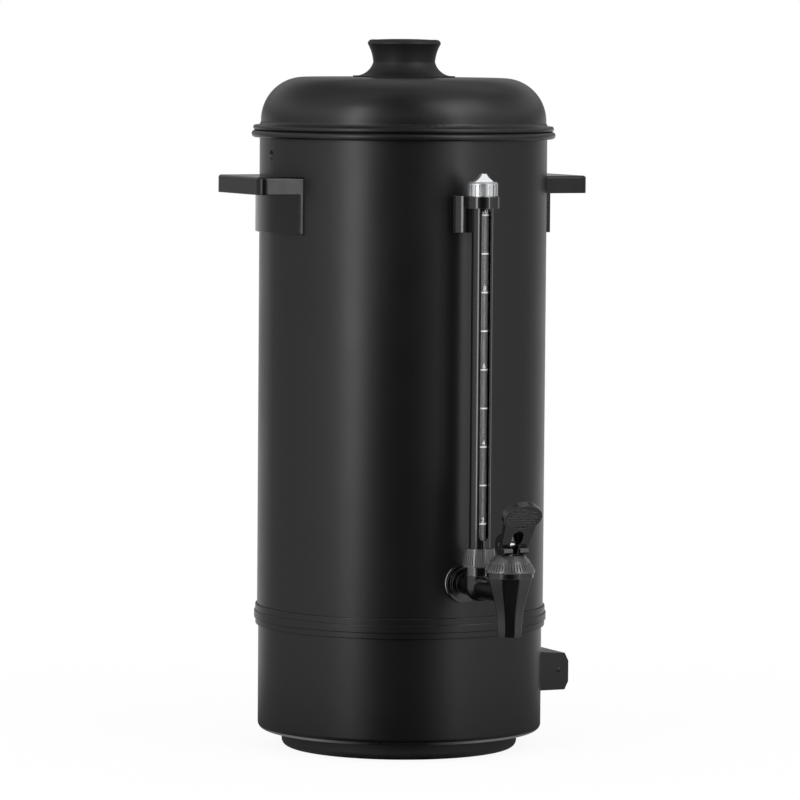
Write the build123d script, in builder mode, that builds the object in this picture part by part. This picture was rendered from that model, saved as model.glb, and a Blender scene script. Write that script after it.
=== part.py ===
from build123d import *

import os
from math import asin, cos, degrees, radians, sin

# A ten-litre hot water urn: a single-wall drum with a lift-off lid, a sight gauge that doubles as
# the filling scale, and a self-closing tap. Sizes are in millimetres. Z points up, the tap faces
# -Y, the handles lie along X, and the origin is on the drum's axis at the surface it stands on.

os.makedirs("parts", exist_ok=True)

# Fits
running_gap = 0.05          # radial play of a shaft in its bore
rest_gap = 0.3              # between a moving piece and the seat it rests on
slip_gap = 0.1              # between assembled pieces that do not move
cut_margin = 1.0            # how far a cutting tool runs past the face that it cuts

# Drum
tank_radius = 107.0         # outside
drill_start = 1.5           # a wall hole's tool starts this far behind the wall
tank_wall = 0.6
tank_depth = 347.4          # floor to rim
foot_height = 13.0
base_height = 86.0          # housing's underside to the drum's lower edge
floor_rise = 13.5           # drum's lower edge to its floor
floor_thickness = 0.8
bead_radius = 2.7
bead_offset = 3.4           # bead's centre outside the drum wall
dimple_depth = 2.0
dimple_ball = 5.0
dimple_drop = 17.9          # below the rim

tank_bore = tank_radius - tank_wall
skirt_z = foot_height + base_height
floor_z = skirt_z + floor_rise
rim_z = floor_z + tank_depth
bead_r = tank_radius + bead_offset
bead_z = rim_z - bead_radius
dimple_z = rim_z - dimple_drop

# Base housing, foot and joint band
housing_play = 0.4          # housing inside the drum's skirt
housing_wall = 0.8
housing_overlap = 9.0       # how far it reaches up inside the skirt
housing_corner = 4.8
housing_flange = 30.0       # width of the turned-in bottom
foot_inset = 18.0           # foot's outside from the housing's outside
foot_width = 17.0
foot_corner = 5.0
foot_inner_corner = 1.5
plate_thickness = 1.0
plate_lap = 8.0             # bottom plate on the flange
vents = 8
vent_circle = 42.0
vent_length = 26.0
vent_width = 5.0
band_below = 7.4            # band's reach below the drum's edge
band_above = 7.7
band_low_rise = 1.2         # each step's height above the drum wall
band_mid_rise = 2.2
band_top_rise = 1.4
band_low_height = 4.4
band_mid_height = 6.0
band_edge = 0.6

housing_radius = tank_bore - housing_play
housing_bore = housing_radius - housing_wall
housing_top = skirt_z + housing_overlap
flange_r = housing_radius - housing_flange
foot_radius = housing_radius - foot_inset
foot_bore = foot_radius - foot_width
plate_radius = flange_r + plate_lap
plate_z = foot_height + housing_wall
screw_circle = (flange_r + plate_radius) / 2

# Lid and knob
lid_wall = 0.8
lid_inset = 0.8             # lid's side inside the drum's outside
lid_side_height = 7.3
lid_straight = 0.6          # plain side below the shoulder
lid_shoulder = 32.0
lid_crown = 9000.0         # the top is almost flat
lid_lip_reach = 4.9         # lip outside the drum
lid_lip_height = 3.5
lid_lip_edge = 0.9          # bulge of the lip's rounded edge
lid_skirt_play = 0.8
lid_skirt_wall = 0.8
lid_skirt_depth = 28.0
lock_turn = 25.0            # degrees of the twist lock's run
knob_base_radius = 38.0
knob_rim_radius = 27.2
knob_neck_radius = 23.0
knob_height = 28.2
knob_neck_height = 11.0
knob_rim_height = 24.5
knob_base_edge = 0.8
knob_flare_radius = 28.5    # a point on the flare from base to neck
knob_flare_height = 3.2
knob_cup_radius = 23.9      # a point halfway from the neck to the rim
knob_cup_height = 16.4
knob_edge_inset = 1.0       # a point on the rounded top edge
knob_edge_rise = 2.3
knob_wall = 3.0
knob_post_radius = 7.0
knob_top_radius = 23.0
knob_crown = 400.0
knob_screw_radius = 2.5
knob_screw_length = 14.0
knob_head_radius = 5.0
knob_head_height = 3.0
knob_hollow_height = 16.6
knob_washer_radius = 8.0
knob_washer_thickness = 1.0

lid_z = rim_z + rest_gap
lid_radius = tank_radius - lid_inset
lid_lip_radius = tank_radius + lid_lip_reach
lid_side_z = lid_z + lid_side_height
shoulder_r = lid_radius - lid_shoulder
crown_angle = degrees(asin(shoulder_r / (lid_crown - lid_shoulder)))
crown_centre_z = lid_side_z - (lid_crown - lid_shoulder) * cos(radians(crown_angle))
crown_z = crown_centre_z + lid_crown
skirt_r = tank_bore - lid_skirt_play
skirt_foot = rim_z - lid_skirt_depth
knob_foot = crown_z + slip_gap
washer_z = crown_z - lid_wall - slip_gap - knob_washer_thickness

# Handles
handle_length = 82.0
handle_reach = 27.0
handle_ledge = 13.0
handle_plate_height = 29.0
handle_plate = 3.0
handle_corner = 6.0
handle_edge = 2.0
handle_drop = 32.9          # ledge's top below the rim
grip_groove_width = 10.0
grip_groove_depth = 8.5
grip_groove_wall = 3.0
grip_groove_end = 6.0
grip_groove_corner = 3.0
handle_screw_angle = 13.5
handle_screw_radius = 2.0
handle_screw_length = 11.0
handle_head_radius = 3.8
handle_head_height = 2.4
handle_seal_radius = 4.4
handle_seal_thickness = 1.0

ledge_top = rim_z - handle_drop
ledge_foot = ledge_top - handle_ledge
handle_foot = ledge_foot - handle_plate_height
handle_screw_z = ledge_foot + handle_ledge / 2
head_seat = tank_bore - handle_seal_thickness

# Tap
tap_reach = 79.0            # spout's axis from the drum wall
tap_rise = 20.0             # shank's axis above the drum's floor
shank_radius = 8.0
shank_thread_radius = 7.6
shank_bore = 4.5
shank_thread_length = 14.0
tap_flange_radius = 14.0
tap_flange_thickness = 2.5
tap_step_radius = 11.6      # step between the flange and the shank
tap_step_thickness = 3.0
tap_seal_thickness = 2.0
tap_seal_radius = 13.2
inner_seal_radius = 12.0
inner_seal_thickness = 3.0
tap_nut_radius = 13.5
tap_nut_thickness = 7.0
collar_radius = 16.8
collar_rise = 11.9          # collar's underside above the shank's axis
collar_height = 3.4
neck_radius = 12.0
neck_rise = 20.5            # neck's top above the shank's axis
chamber_radius = 9.0
chamber_floor_drop = 4.5
seat_radius = 6.0
seat_height = 1.5
spout_drop = 30.9           # spout's lip below the shank's axis
spout_bore = 5.0
spout_facets = 8
facet_edge = 0.15           # rounding of the edges between facets, for each mm across the flats
spout_profile = (           # height from the shank's axis, and half of the width across flats
    (collar_rise, 15.35),
    (0.5, 12.6),
    (-10.0, 10.15),
    (-17.5, 9.2),
    (-24.5, 8.75),
    (-spout_drop, 8.2),
)
bonnet_radius = 18.0
bonnet_top_radius = 10.3
bonnet_rise = 28.0          # bonnet's top above the shank's axis
bonnet_gap = 0.4
bonnet_knurls = 48
knurl_depth = 0.6
knurl_width = 0.8
bonnet_mid_radius = 15.3
bonnet_mid_height = 6.2
bonnet_skirt = 1.0          # plain edge below the crown
knurl_foot = 1.6            # knurl's lower end above the bonnet's foot
knurl_run = 8.4             # knurl's upper end, where it fades into the crown
spring_room_radius = 7.5
bonnet_roof = 4.0
bonnet_seal_thickness = 1.0

tap_y = -(tank_radius + tap_reach)
tap_z = floor_z + tap_rise
collar_z = tap_z + collar_rise
collar_top = collar_z + collar_height
neck_z = tap_z + neck_rise
chamber_z = tap_z - chamber_floor_drop
seat_z = chamber_z + seat_height
spout_z = tap_z - spout_drop
bonnet_z = collar_top + bonnet_gap
bonnet_top = tap_z + bonnet_rise

# Valve and lever
stem_radius = 2.0
cup_radius = 7.2
cup_height = 6.0
stem_disc_radius = 4.5
stem_disc_rise = 1.5        # disc's underside inside the cup
stem_disc_thickness = 1.5
cup_edge = 0.8
stem_washer_radius = 6.4
stem_washer = 0.8
spring_radius = 5.6
spring_wire_radius = 0.6
spring_turns = 5
eye_radius = 3.6
eye_width = 5.0
pin_radius = 1.5
pin_rise = 7.2              # lever's pin above the cam face
cam_rate = 5.0              # lift in mm for each radian that the lever turns
cam_turn = 40.0             # degrees of cam, a little past the lever's stop
cam_points = 6
hub_radius = 7.2
hub_half_width = 8.6
lever_slot = 3.0            # half-width of the slot round the stem
slot_front = 8.6
window_half_width = 4.4
window_top = 6.4
foot_plate_top = -2.4
foot_half_width = 9.8
arm_lean = 30.0             # degrees forward of upright
arm_half_width = 10.4
arm_thickness = 5.0
arm_top_half_width = 12.0
arm_foot = -3.5
arm_front = 8.8             # arm's front face ahead of the pin, at the pin's height
brace_reach = 15.4          # top of the web between hub and arm
brace_height = 14.0
pad_half_width = 15.0
pad_half_height = 11.0
pad_centre = 23.6           # up the arm from the pin's height
pad_rim = 2.2
pad_dish = 1.0
pad_ribs = 7
rib_pitch = 2.2
rib_width = 0.9

cup_z = seat_z + rest_gap
cam_z = bonnet_top + rest_gap
pin_z = cam_z + pin_rise
spring_foot = cup_z + cup_height + stem_washer
spring_top = bonnet_top - bonnet_roof

# Sight gauge
gauge_reach = 29.0          # gauge's axis from the drum wall
stub_radius = 10.5
stub_rise = 14.8            # socket's shoulder above the shank's axis
boss_rise = 8.6             # top of the boss that the gauge's socket screws into
socket_thread_radius = 6.0
socket_thread_length = 3.4
spigot_radius = 8.5
spigot_height = 5.0
glass_seat_rise = 1.0       # the seat that the glass stands on, above the shoulder
gauge_port = 3.0
glass_radius = 4.75
glass_bore = 3.25
glass_recess = 0.7          # glass ends this far below the bracket's top
guard_radius = 7.75
guard_wall = 1.0
guard_slot = 7.5
slot_foot = 5.8             # slot's lower end above the gauge nut
slot_head = 0.8             # slot's upper end above the bracket's underside
gauge_nut_top_radius = 10.7
gauge_nut_radius = 12.6
gauge_nut_height = 13.1
gauge_nut_flutes = 36
flute_depth = 0.55
flute_inset = 1.2
gauge_nut_edge = 1.0
seal_thickness = 3.0
bracket_drop = 44.7         # bracket ring's top below the rim
bracket_ring_radius = 12.0
bracket_ring_height = 8.3
bracket_neck_width = 16.8   # between block and ring
bracket_block_radius = 12.5
bracket_block_centre = 5.0  # block's centre outside the drum wall
bracket_block_height = 26.4
bracket_web = 1.0
guard_seat_depth = 3.8
cap_radius = 11.0
cap_height = 10.2
cap_gap = 0.5
cap_spigot_radius = 8.5
cap_spigot_length = 2.5
cap_bore = 5.75
cap_edge = 1.2
cap_ribs = 20
cap_groove_depth = 0.6
cap_groove_width = 1.1
cap_groove_length = 8.1
fin_height = 5.8
fin_thickness = 4.2
fin_length = 15.0
fin_peak_half = 1.8
fin_hollow = 4.8            # lowest point of the fin's steep hollow side
fin_hollow_height = 1.6
fin_step = 3.3              # break in the fin's sloping side
fin_step_height = 3.5
bracket_screw_radius = 2.0
bracket_screw_length = 10.0

gauge_y = -(tank_radius + gauge_reach)
boss_z = tap_z + boss_rise
stub_z = tap_z + stub_rise
spigot_z = stub_z + spigot_height
glass_seat_z = stub_z + glass_seat_rise
gauge_nut_z = stub_z + slip_gap
gauge_nut_top = gauge_nut_z + gauge_nut_height
bracket_top = rim_z - bracket_drop
bracket_z = bracket_top - bracket_ring_height
guard_z = spigot_z + seal_thickness
guard_top = bracket_z + guard_seat_depth
bracket_floor = bracket_z + guard_seat_depth + slip_gap
bracket_screw_z = bracket_top - bracket_block_height / 2
cap_z = bracket_top + cap_gap
block_y = -(tank_radius + bracket_block_centre)

# Control box, switch, lamp and mains inlet
box_half_width = 28.0
box_reach = 22.5            # outside the housing
box_z = 39.0
box_height = 30.0
box_slope = 2.4             # drop of the roof towards its outer edge
box_bevel = 6.0
box_bevel_depth = 3.0
box_wall = 2.5
box_boss_radius = 3.8
box_corner = 2.0
box_flange = 3.0
box_flange_thickness = 1.5
box_screw_angle = 11.6
box_screw_length = 14.0
box_root = 95.0             # the box's blank starts inside the housing, which trims it
switch_length = 20.0
switch_height = 12.8
rocker_opening = 18.9
rocker_pivot = 3.0
rocker_back = 1.5
rocker_pin_radius = 1.2
wire_hole_width = 20.0
wire_hole_height = 12.0
wire_hole_corner = 3.0
rocker_y = -9.0
rocker_length = 17.0
rocker_height = 11.0
rocker_well = 10.0          # depth of the rocker's opening behind the box's face
rocker_pin_length = 12.6
rocker_ear = 1.8            # rise of the rocker's ends over the pivot's cover
rocker_dish = 0.6           # rise at its middle
rocker_end_slope = 0.2
rocker_back_slope = 1.5
rocker_tilt = 11.0          # degrees each side of level
bezel_length = 22.0
bezel_height = 14.4
bezel_thickness = 1.6
bezel_corner = 1.5
switch_depth = 13.0
lamp_y = 16.0
lamp_radius = 4.0
lamp_rise = 2.2
lamp_collar = 1.0
lamp_taper = 25.0
lamp_depth = 12.0
inlet_z = 52.0
inlet_length = 50.0
inlet_height = 26.0
inlet_flange = 2.4
inlet_body_width = 28.0
inlet_body_height = 21.0
inlet_depth = 24.0
inlet_corner = 2.0
inlet_pin_foot = 4.0        # pins end this far inside the socket's mouth
socket_width = 24.0
socket_height = 16.5
socket_depth = 17.0
socket_corner = 3.0
inlet_pins = ((-7.0, -2.0), (0.0, 2.5), (7.0, -2.0))
inlet_pin_width = 4.0
inlet_pin_thickness = 2.0
inlet_screw_angle = 10.9
inlet_screw_length = 6.4

box_x = housing_radius + box_reach
box_screw_angles = (-box_screw_angle, box_screw_angle)
box_top = box_z + box_height
box_mid = box_z + box_height / 2
inlet_screw_angles = (90 - inlet_screw_angle, 90 + inlet_screw_angle)

# Heater
heater_radius = 72.0
heater_thickness = 4.0
element_ring = 56.0
element_radius = 4.2
element_arc = 316.0
element_leg = 22.0
clamp_length = 130.0
clamp_width = 16.0
clamp_thickness = 2.5
stud_radius = 3.0
stud_length = 21.0
nut_radius = 5.8
nut_height = 5.0
thermostat_radius = 8.0
thermostat_height = 9.0
thermostat_r = 26.0
sensor_lug_length = 27.2
sensor_lug_width = 8.0
sensor_lug_thickness = 1.2
tab_length = 7.0
tab_width = 6.3
tab_thickness = 0.8
tab_spacing = 8.0
terminal_x = 58.0
terminal_width = 18.0
terminal_length = 46.0
terminal_height = 14.0
terminal_edge = 1.0
terminal_bore = 2.0
terminal_bore_depth = 4.0
terminal_rows = 4

heater_top = floor_z - floor_thickness
heater_z = heater_top - heater_thickness
element_z = heater_z - element_radius
clamp_z = element_z - element_radius - clamp_thickness

# Small fasteners
head_taper = 12.0
screw_radius = 1.9
screw_head_radius = 3.6
screw_head_height = 2.2
base_screws = 4
base_screw_length = 12.0
base_screw_bury = 5.0       # head's depth inside the foot


def disc(radius, low, high, at=(0, 0), mode=Mode.ADD):
    """Add or cut an upright round bar between two heights."""
    with BuildSketch(Plane.XY.offset(low)) as outline:
        with Locations(at):
            Circle(radius)
    extrude(outline.sketch, amount=high - low, mode=mode)


def bar(plane, radius, length, mode=Mode.ADD):
    """Add or cut a round bar that starts on a plane and runs along its normal."""
    with BuildSketch(plane) as outline:
        Circle(radius)
    extrude(outline.sketch, amount=length, mode=mode)


def radial_plane(angle, radius, height):
    """A plane on the drum that faces outwards at an angle from +X."""
    out = Vector(cos(radians(angle)), sin(radians(angle)), 0)
    return Plane(origin=out * radius + Vector(0, 0, height), x_dir=(0, 0, 1), z_dir=out)


def pan_screw(plane, shank_radius, shank_length, head_radius, head_height):
    """A screw whose head seats on a plane and whose shank runs along the plane's normal."""
    bar(plane, shank_radius, shank_length)
    with BuildSketch(plane) as head:
        Circle(head_radius)
    extrude(head.sketch, amount=-head_height, taper=head_taper)


def save(piece, name):
    """Label a finished piece and write it."""
    piece.part.label = name
    export_step(piece.part, f"parts/{name}.step")


handle_screws_at = [side + step for side in (0, 180) for step in (-handle_screw_angle, handle_screw_angle)]

# ---------------------------------------------------------------- drum
with BuildPart() as tank:
    with BuildSketch(Plane.XZ):
        with Locations((tank_bore + tank_wall / 2, (skirt_z + bead_z) / 2)):
            Rectangle(tank_wall, bead_z - skirt_z)
        with Locations((tank_bore / 2, floor_z - floor_thickness / 2)):
            Rectangle(tank_bore, floor_thickness)
        with BuildLine():
            roll_start = (tank_bore, rim_z - (bead_r - tank_bore))
            roll_top = (bead_r, rim_z)
            RadiusArc(roll_start, roll_top, bead_r - tank_bore)
            Polyline(
                roll_top,
                (bead_r, bead_z),
                (tank_radius, bead_z),
                (tank_radius, roll_start[1]),
                roll_start,
            )
        make_face()
        with Locations((bead_r, bead_z)):
            Circle(bead_radius)
    revolve(axis=Axis.Z)
    wall_holes = [(-90, tap_z, shank_thread_radius), (-90, bracket_screw_z, bracket_screw_radius)]
    wall_holes += [(angle, handle_screw_z, handle_screw_radius) for angle in handle_screws_at]
    for angle, height, radius in wall_holes:
        drill = radial_plane(angle, tank_bore - drill_start, height)
        bar(drill, radius + slip_gap, tank_wall + 2 * drill_start, Mode.SUBTRACT)
    dimple_r = tank_bore + dimple_ball - dimple_depth
    with PolarLocations(dimple_r, 2):
        with Locations((0, 0, dimple_z)):
            Sphere(dimple_ball - tank_wall, mode=Mode.SUBTRACT)
    for side in (1, -1):
        with BuildSketch(Plane.XZ):
            with Locations((side * dimple_r, dimple_z)):
                Circle(dimple_ball)
                Circle(dimple_ball - tank_wall, mode=Mode.SUBTRACT)
            with Locations((side * dimple_r, dimple_z - dimple_ball)):
                Rectangle(2 * dimple_ball, 2 * dimple_ball, mode=Mode.SUBTRACT)
            with Locations((side * (tank_radius - tank_wall / 2 + dimple_ball), dimple_z)):
                Rectangle(2 * dimple_ball, 2 * dimple_ball, mode=Mode.SUBTRACT)
        revolve(axis=Axis((0, 0, dimple_z), (1, 0, 0)))
save(tank, "tank")

# ---------------------------------------------------------------- joint band, housing and foot
band_foot = skirt_z - band_below
band_top = skirt_z + band_above
mid_foot = band_foot + band_low_height
mid_top = mid_foot + band_mid_height
with BuildPart() as joint_band:
    with BuildSketch(Plane.XZ) as section:
        with BuildLine():
            Polyline(
                (housing_radius, band_foot),
                (tank_radius + band_low_rise, band_foot),
                (tank_radius + band_low_rise, mid_foot),
                (tank_radius + band_mid_rise, mid_foot),
                (tank_radius + band_mid_rise, mid_top),
                (tank_radius + band_top_rise, mid_top),
                (tank_radius + band_top_rise, band_top),
                (tank_radius, band_top),
                (tank_radius, skirt_z),
                (housing_radius, skirt_z),
                close=True,
            )
        make_face()
        ridge = section.vertices().group_by(Axis.X)[-1]
        ends = section.vertices().group_by(Axis.Y)[0] + section.vertices().group_by(Axis.Y)[-1]
        fillet(ridge + ends.filter_by(lambda v: v.X > tank_radius + band_edge), radius=band_edge)
    revolve(axis=Axis.Z)
save(joint_band, "joint_band")

with BuildPart() as base_housing:
    with BuildSketch(Plane.XZ) as section:
        with BuildLine():
            Polyline(
                (flange_r, foot_height),
                (housing_radius, foot_height),
                (housing_radius, housing_top),
                (housing_bore, housing_top),
                (housing_bore, plate_z),
                (flange_r, plate_z),
                close=True,
            )
        make_face()
        lower = section.vertices().sort_by(Axis.Y)
        fillet(lower[:2].sort_by(Axis.X)[-1], radius=housing_corner)
        inner = section.vertices().group_by(Axis.Y)[1]
        fillet(inner.sort_by(Axis.X)[-1], radius=housing_corner - housing_wall)
    revolve(axis=Axis.Z)
    wall_holes = [(angle, box_mid) for angle in box_screw_angles]
    wall_holes += [(angle, inlet_z) for angle in inlet_screw_angles]
    for angle, height in wall_holes:
        drill = radial_plane(angle, housing_bore - drill_start, height)
        bar(drill, screw_radius + slip_gap, housing_wall + 2 * drill_start, Mode.SUBTRACT)
    with BuildSketch(Plane.YZ.offset(housing_bore - drill_start)):
        with Locations((0, box_mid)):
            RectangleRounded(wire_hole_width, wire_hole_height, wire_hole_corner)
    extrude(amount=housing_wall + 2 * drill_start, mode=Mode.SUBTRACT)
    with BuildSketch(Plane.XZ.offset(-box_root)):
        with Locations((0, inlet_z)):
            inlet_hole = (inlet_body_width + 2 * slip_gap, inlet_body_height + 2 * slip_gap)
            RectangleRounded(*inlet_hole, inlet_corner)
    extrude(amount=box_root - housing_radius - cut_margin, mode=Mode.SUBTRACT)
    with PolarLocations(screw_circle, base_screws, 45):
        with Locations((0, 0, foot_height)):
            Cylinder(screw_radius - slip_gap, 4 * housing_wall, mode=Mode.SUBTRACT)
save(base_housing, "base_housing")

with BuildPart() as foot_ring:
    with BuildSketch(Plane.XZ) as section:
        with Locations((foot_bore, 0)):
            Rectangle(foot_width, foot_height, align=(Align.MIN, Align.MIN))
        fillet(section.vertices().group_by(Axis.Y)[0].sort_by(Axis.X)[-1], radius=foot_corner)
        fillet(section.vertices().group_by(Axis.Y)[0].sort_by(Axis.X)[0], radius=foot_inner_corner)
    revolve(axis=Axis.Z)
    with PolarLocations(screw_circle, base_screws, 45):
        with Locations((0, 0, base_screw_bury / 2)):
            Cylinder(screw_head_radius + 2 * rest_gap, base_screw_bury, mode=Mode.SUBTRACT)
        with Locations((0, 0, foot_height / 2)):
            Cylinder(screw_radius + slip_gap, foot_height + cut_margin, mode=Mode.SUBTRACT)
save(foot_ring, "foot_ring")

with BuildPart() as bottom_plate:
    disc(plate_radius, plate_z, plate_z + plate_thickness)
    with BuildSketch(Plane.XY.offset(plate_z)):
        with PolarLocations(vent_circle, vents):
            SlotOverall(vent_length, vent_width)
    extrude(amount=plate_thickness, mode=Mode.SUBTRACT)
    with PolarLocations(screw_circle, base_screws, 45):
        with Locations((0, 0, plate_z)):
            Cylinder(screw_radius - slip_gap, 4 * plate_thickness, mode=Mode.SUBTRACT)
save(bottom_plate, "bottom_plate")

with BuildPart() as base_screw_set:
    for turn in range(base_screws):
        angle = radians(45 + 360 / base_screws * turn)
        seat = Plane(origin=(screw_circle * cos(angle), screw_circle * sin(angle), base_screw_bury))
        pan_screw(seat, screw_radius - slip_gap, base_screw_length, screw_head_radius, screw_head_height)
save(base_screw_set, "base_screws")

# ---------------------------------------------------------------- lid
# The skirt's notch drops past a dimple, and the slot beside it locks the lid as it turns.
with BuildPart() as lock_slot:
    with Locations((skirt_r, 0, (skirt_foot + dimple_z + dimple_ball) / 2)):
        Box(lid_skirt_depth, 2 * dimple_ball, dimple_z + dimple_ball - skirt_foot)
    with BuildSketch(Plane.XZ):
        with Locations((skirt_r, dimple_z)):
            Rectangle(lid_skirt_depth, 2 * dimple_ball)
    revolve(axis=Axis.Z, revolution_arc=lock_turn)

with BuildPart() as lid:
    with BuildSketch(Plane.XZ):
        with BuildLine():
            CenterArc((0, crown_centre_z), lid_crown, 90 - crown_angle, crown_angle)
            CenterArc((shoulder_r, lid_side_z), lid_shoulder, 0, 90 - crown_angle)
            side_foot = (lid_radius, lid_side_z - lid_straight)
            lip_top = (lid_lip_radius - lid_lip_edge, lid_z + lid_lip_height)
            lip_foot = (lid_lip_radius - lid_lip_edge, lid_z)
            Line((lid_radius, lid_side_z), side_foot)
            TangentArc(side_foot, lip_top, tangent=(0, -1))
            ThreePointArc(lip_top, (lid_lip_radius, lid_z + lid_lip_height / 2), lip_foot)
            Polyline(
                lip_foot,
                (skirt_r, lid_z),
                (skirt_r, skirt_foot),
                (skirt_r - lid_skirt_wall, skirt_foot),
                (skirt_r - lid_skirt_wall, lid_side_z - lid_straight),
                (lid_radius - lid_wall, lid_side_z),
            )
            CenterArc((shoulder_r, lid_side_z), lid_shoulder - lid_wall, 0, 90 - crown_angle)
            CenterArc((0, crown_centre_z), lid_crown - lid_wall, 90 - crown_angle, crown_angle)
            Line((0, crown_z - lid_wall), (0, crown_z))
        make_face()
    revolve(axis=Axis.Z)
    with PolarLocations(0, 2):
        add(lock_slot.part, mode=Mode.SUBTRACT)
    disc(knob_screw_radius + slip_gap, washer_z, knob_foot, mode=Mode.SUBTRACT)
save(lid, "lid")

# The knob stands on its rim, clear of the crown's slight dome, and is screwed on from below.
knob_crown_z = knob_foot + knob_height - knob_crown
knob_crown_angle = degrees(asin(knob_top_radius / knob_crown))
with BuildPart() as lid_knob:
    with BuildSketch(Plane.XZ) as section:
        with BuildLine():
            base_edge = (knob_base_radius, knob_foot + knob_base_edge)
            neck = (knob_neck_radius, knob_foot + knob_neck_height)
            rim = (knob_rim_radius, knob_foot + knob_rim_height)
            top_edge = (knob_top_radius, knob_crown_z + knob_crown * cos(radians(knob_crown_angle)))
            Line((0, knob_foot), (knob_base_radius, knob_foot))
            Line((knob_base_radius, knob_foot), base_edge)
            ThreePointArc(base_edge, (knob_flare_radius, knob_foot + knob_flare_height), neck)
            ThreePointArc(neck, (knob_cup_radius, knob_foot + knob_cup_height), rim)
            ThreePointArc(rim, (knob_rim_radius - knob_edge_inset, rim[1] + knob_edge_rise), top_edge)
            CenterArc((0, knob_crown_z), knob_crown, 90 - knob_crown_angle, knob_crown_angle)
            Line((0, knob_foot + knob_height), (0, knob_foot))
        make_face()
    revolve(axis=Axis.Z)
    hollow_top = knob_foot + knob_hollow_height
    with BuildSketch(Plane.XZ):
        with BuildLine():
            flare = (knob_base_radius - 2 * knob_wall, knob_foot)
            throat = (knob_neck_radius - knob_wall, knob_foot + knob_neck_height)
            ThreePointArc(flare, (knob_flare_radius - knob_wall, knob_foot + knob_flare_height), throat)
            Polyline(
                throat,
                (throat[0], hollow_top),
                (knob_post_radius, hollow_top),
                (knob_post_radius, knob_foot),
                flare,
            )
        make_face()
    revolve(axis=Axis.Z, mode=Mode.SUBTRACT)
    disc(knob_screw_radius, knob_foot, knob_foot + knob_screw_length, mode=Mode.SUBTRACT)
save(lid_knob, "lid_knob")

with BuildPart() as knob_washer:
    disc(knob_washer_radius, washer_z, washer_z + knob_washer_thickness)
    disc(knob_screw_radius + slip_gap, washer_z, washer_z + knob_washer_thickness, mode=Mode.SUBTRACT)
save(knob_washer, "lid_knob_washer")

with BuildPart() as knob_screw:
    washer_face = Plane.XY.offset(washer_z)
    pan_screw(washer_face, knob_screw_radius, knob_screw_length, knob_head_radius, knob_head_height)
save(knob_screw, "lid_knob_screw")

# ---------------------------------------------------------------- handles
for side, name in ((-1, "left_handle"), (1, "right_handle")):
    outer_x = tank_radius + handle_reach
    with BuildPart() as handle:
        with BuildSketch(Plane.XY.offset(ledge_foot)) as plan:
            with Locations((side * outer_x / 2, 0)):
                Rectangle(outer_x, handle_length)
            fillet(plan.vertices().sort_by(Axis.X, reverse=side > 0)[:2], radius=handle_corner)
        extrude(amount=handle_ledge)
        edges = handle.faces().sort_by(Axis.Z)[-1].edges()
        fillet(edges.filter_by(lambda e: abs(e.center().X) > tank_radius), radius=handle_edge)
        with BuildSketch(Plane.XY.offset(handle_foot)):
            Circle(tank_radius + handle_plate)
            with Locations((side * outer_x / 2, 0)):
                Rectangle(outer_x, handle_length, mode=Mode.INTERSECT)
        extrude(amount=handle_plate_height)
        disc(tank_radius, handle_foot, ledge_top, mode=Mode.SUBTRACT)
        groove_x = outer_x - grip_groove_wall - grip_groove_width / 2
        with BuildSketch(Plane.XY.offset(ledge_foot)):
            with Locations((side * groove_x, 0)):
                groove_length = handle_length - 2 * grip_groove_end
                RectangleRounded(grip_groove_width, groove_length, grip_groove_corner)
        extrude(amount=grip_groove_depth, mode=Mode.SUBTRACT)
        for step in (-handle_screw_angle, handle_screw_angle):
            screw_plane = radial_plane(90 - 90 * side + step, head_seat, handle_screw_z)
            bar(screw_plane, handle_screw_radius, handle_screw_length + cut_margin, Mode.SUBTRACT)
    save(handle, name)

with BuildPart() as handle_screws:
    for angle in handle_screws_at:
        seat = radial_plane(angle, head_seat, handle_screw_z)
        pan_screw(seat, handle_screw_radius, handle_screw_length, handle_head_radius, handle_head_height)
save(handle_screws, "handle_screws")

with BuildPart() as handle_seals:
    for angle in handle_screws_at:
        seat = radial_plane(angle, head_seat, handle_screw_z)
        bar(seat, handle_seal_radius, handle_seal_thickness + cut_margin)
        bar(seat, handle_screw_radius, handle_seal_thickness + cut_margin, Mode.SUBTRACT)
    disc(tank_bore, ledge_foot, ledge_top, mode=Mode.INTERSECT)
save(handle_seals, "handle_seals")

# ---------------------------------------------------------------- tap
shank_plane = Plane(origin=(0, -tank_radius, tap_z), x_dir=(1, 0, 0), z_dir=(0, -1, 0))
inner_plane = Plane(origin=(0, -tank_bore, tap_z), x_dir=(1, 0, 0), z_dir=(0, 1, 0))
flange_face = shank_plane.offset(tap_seal_thickness)

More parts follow.
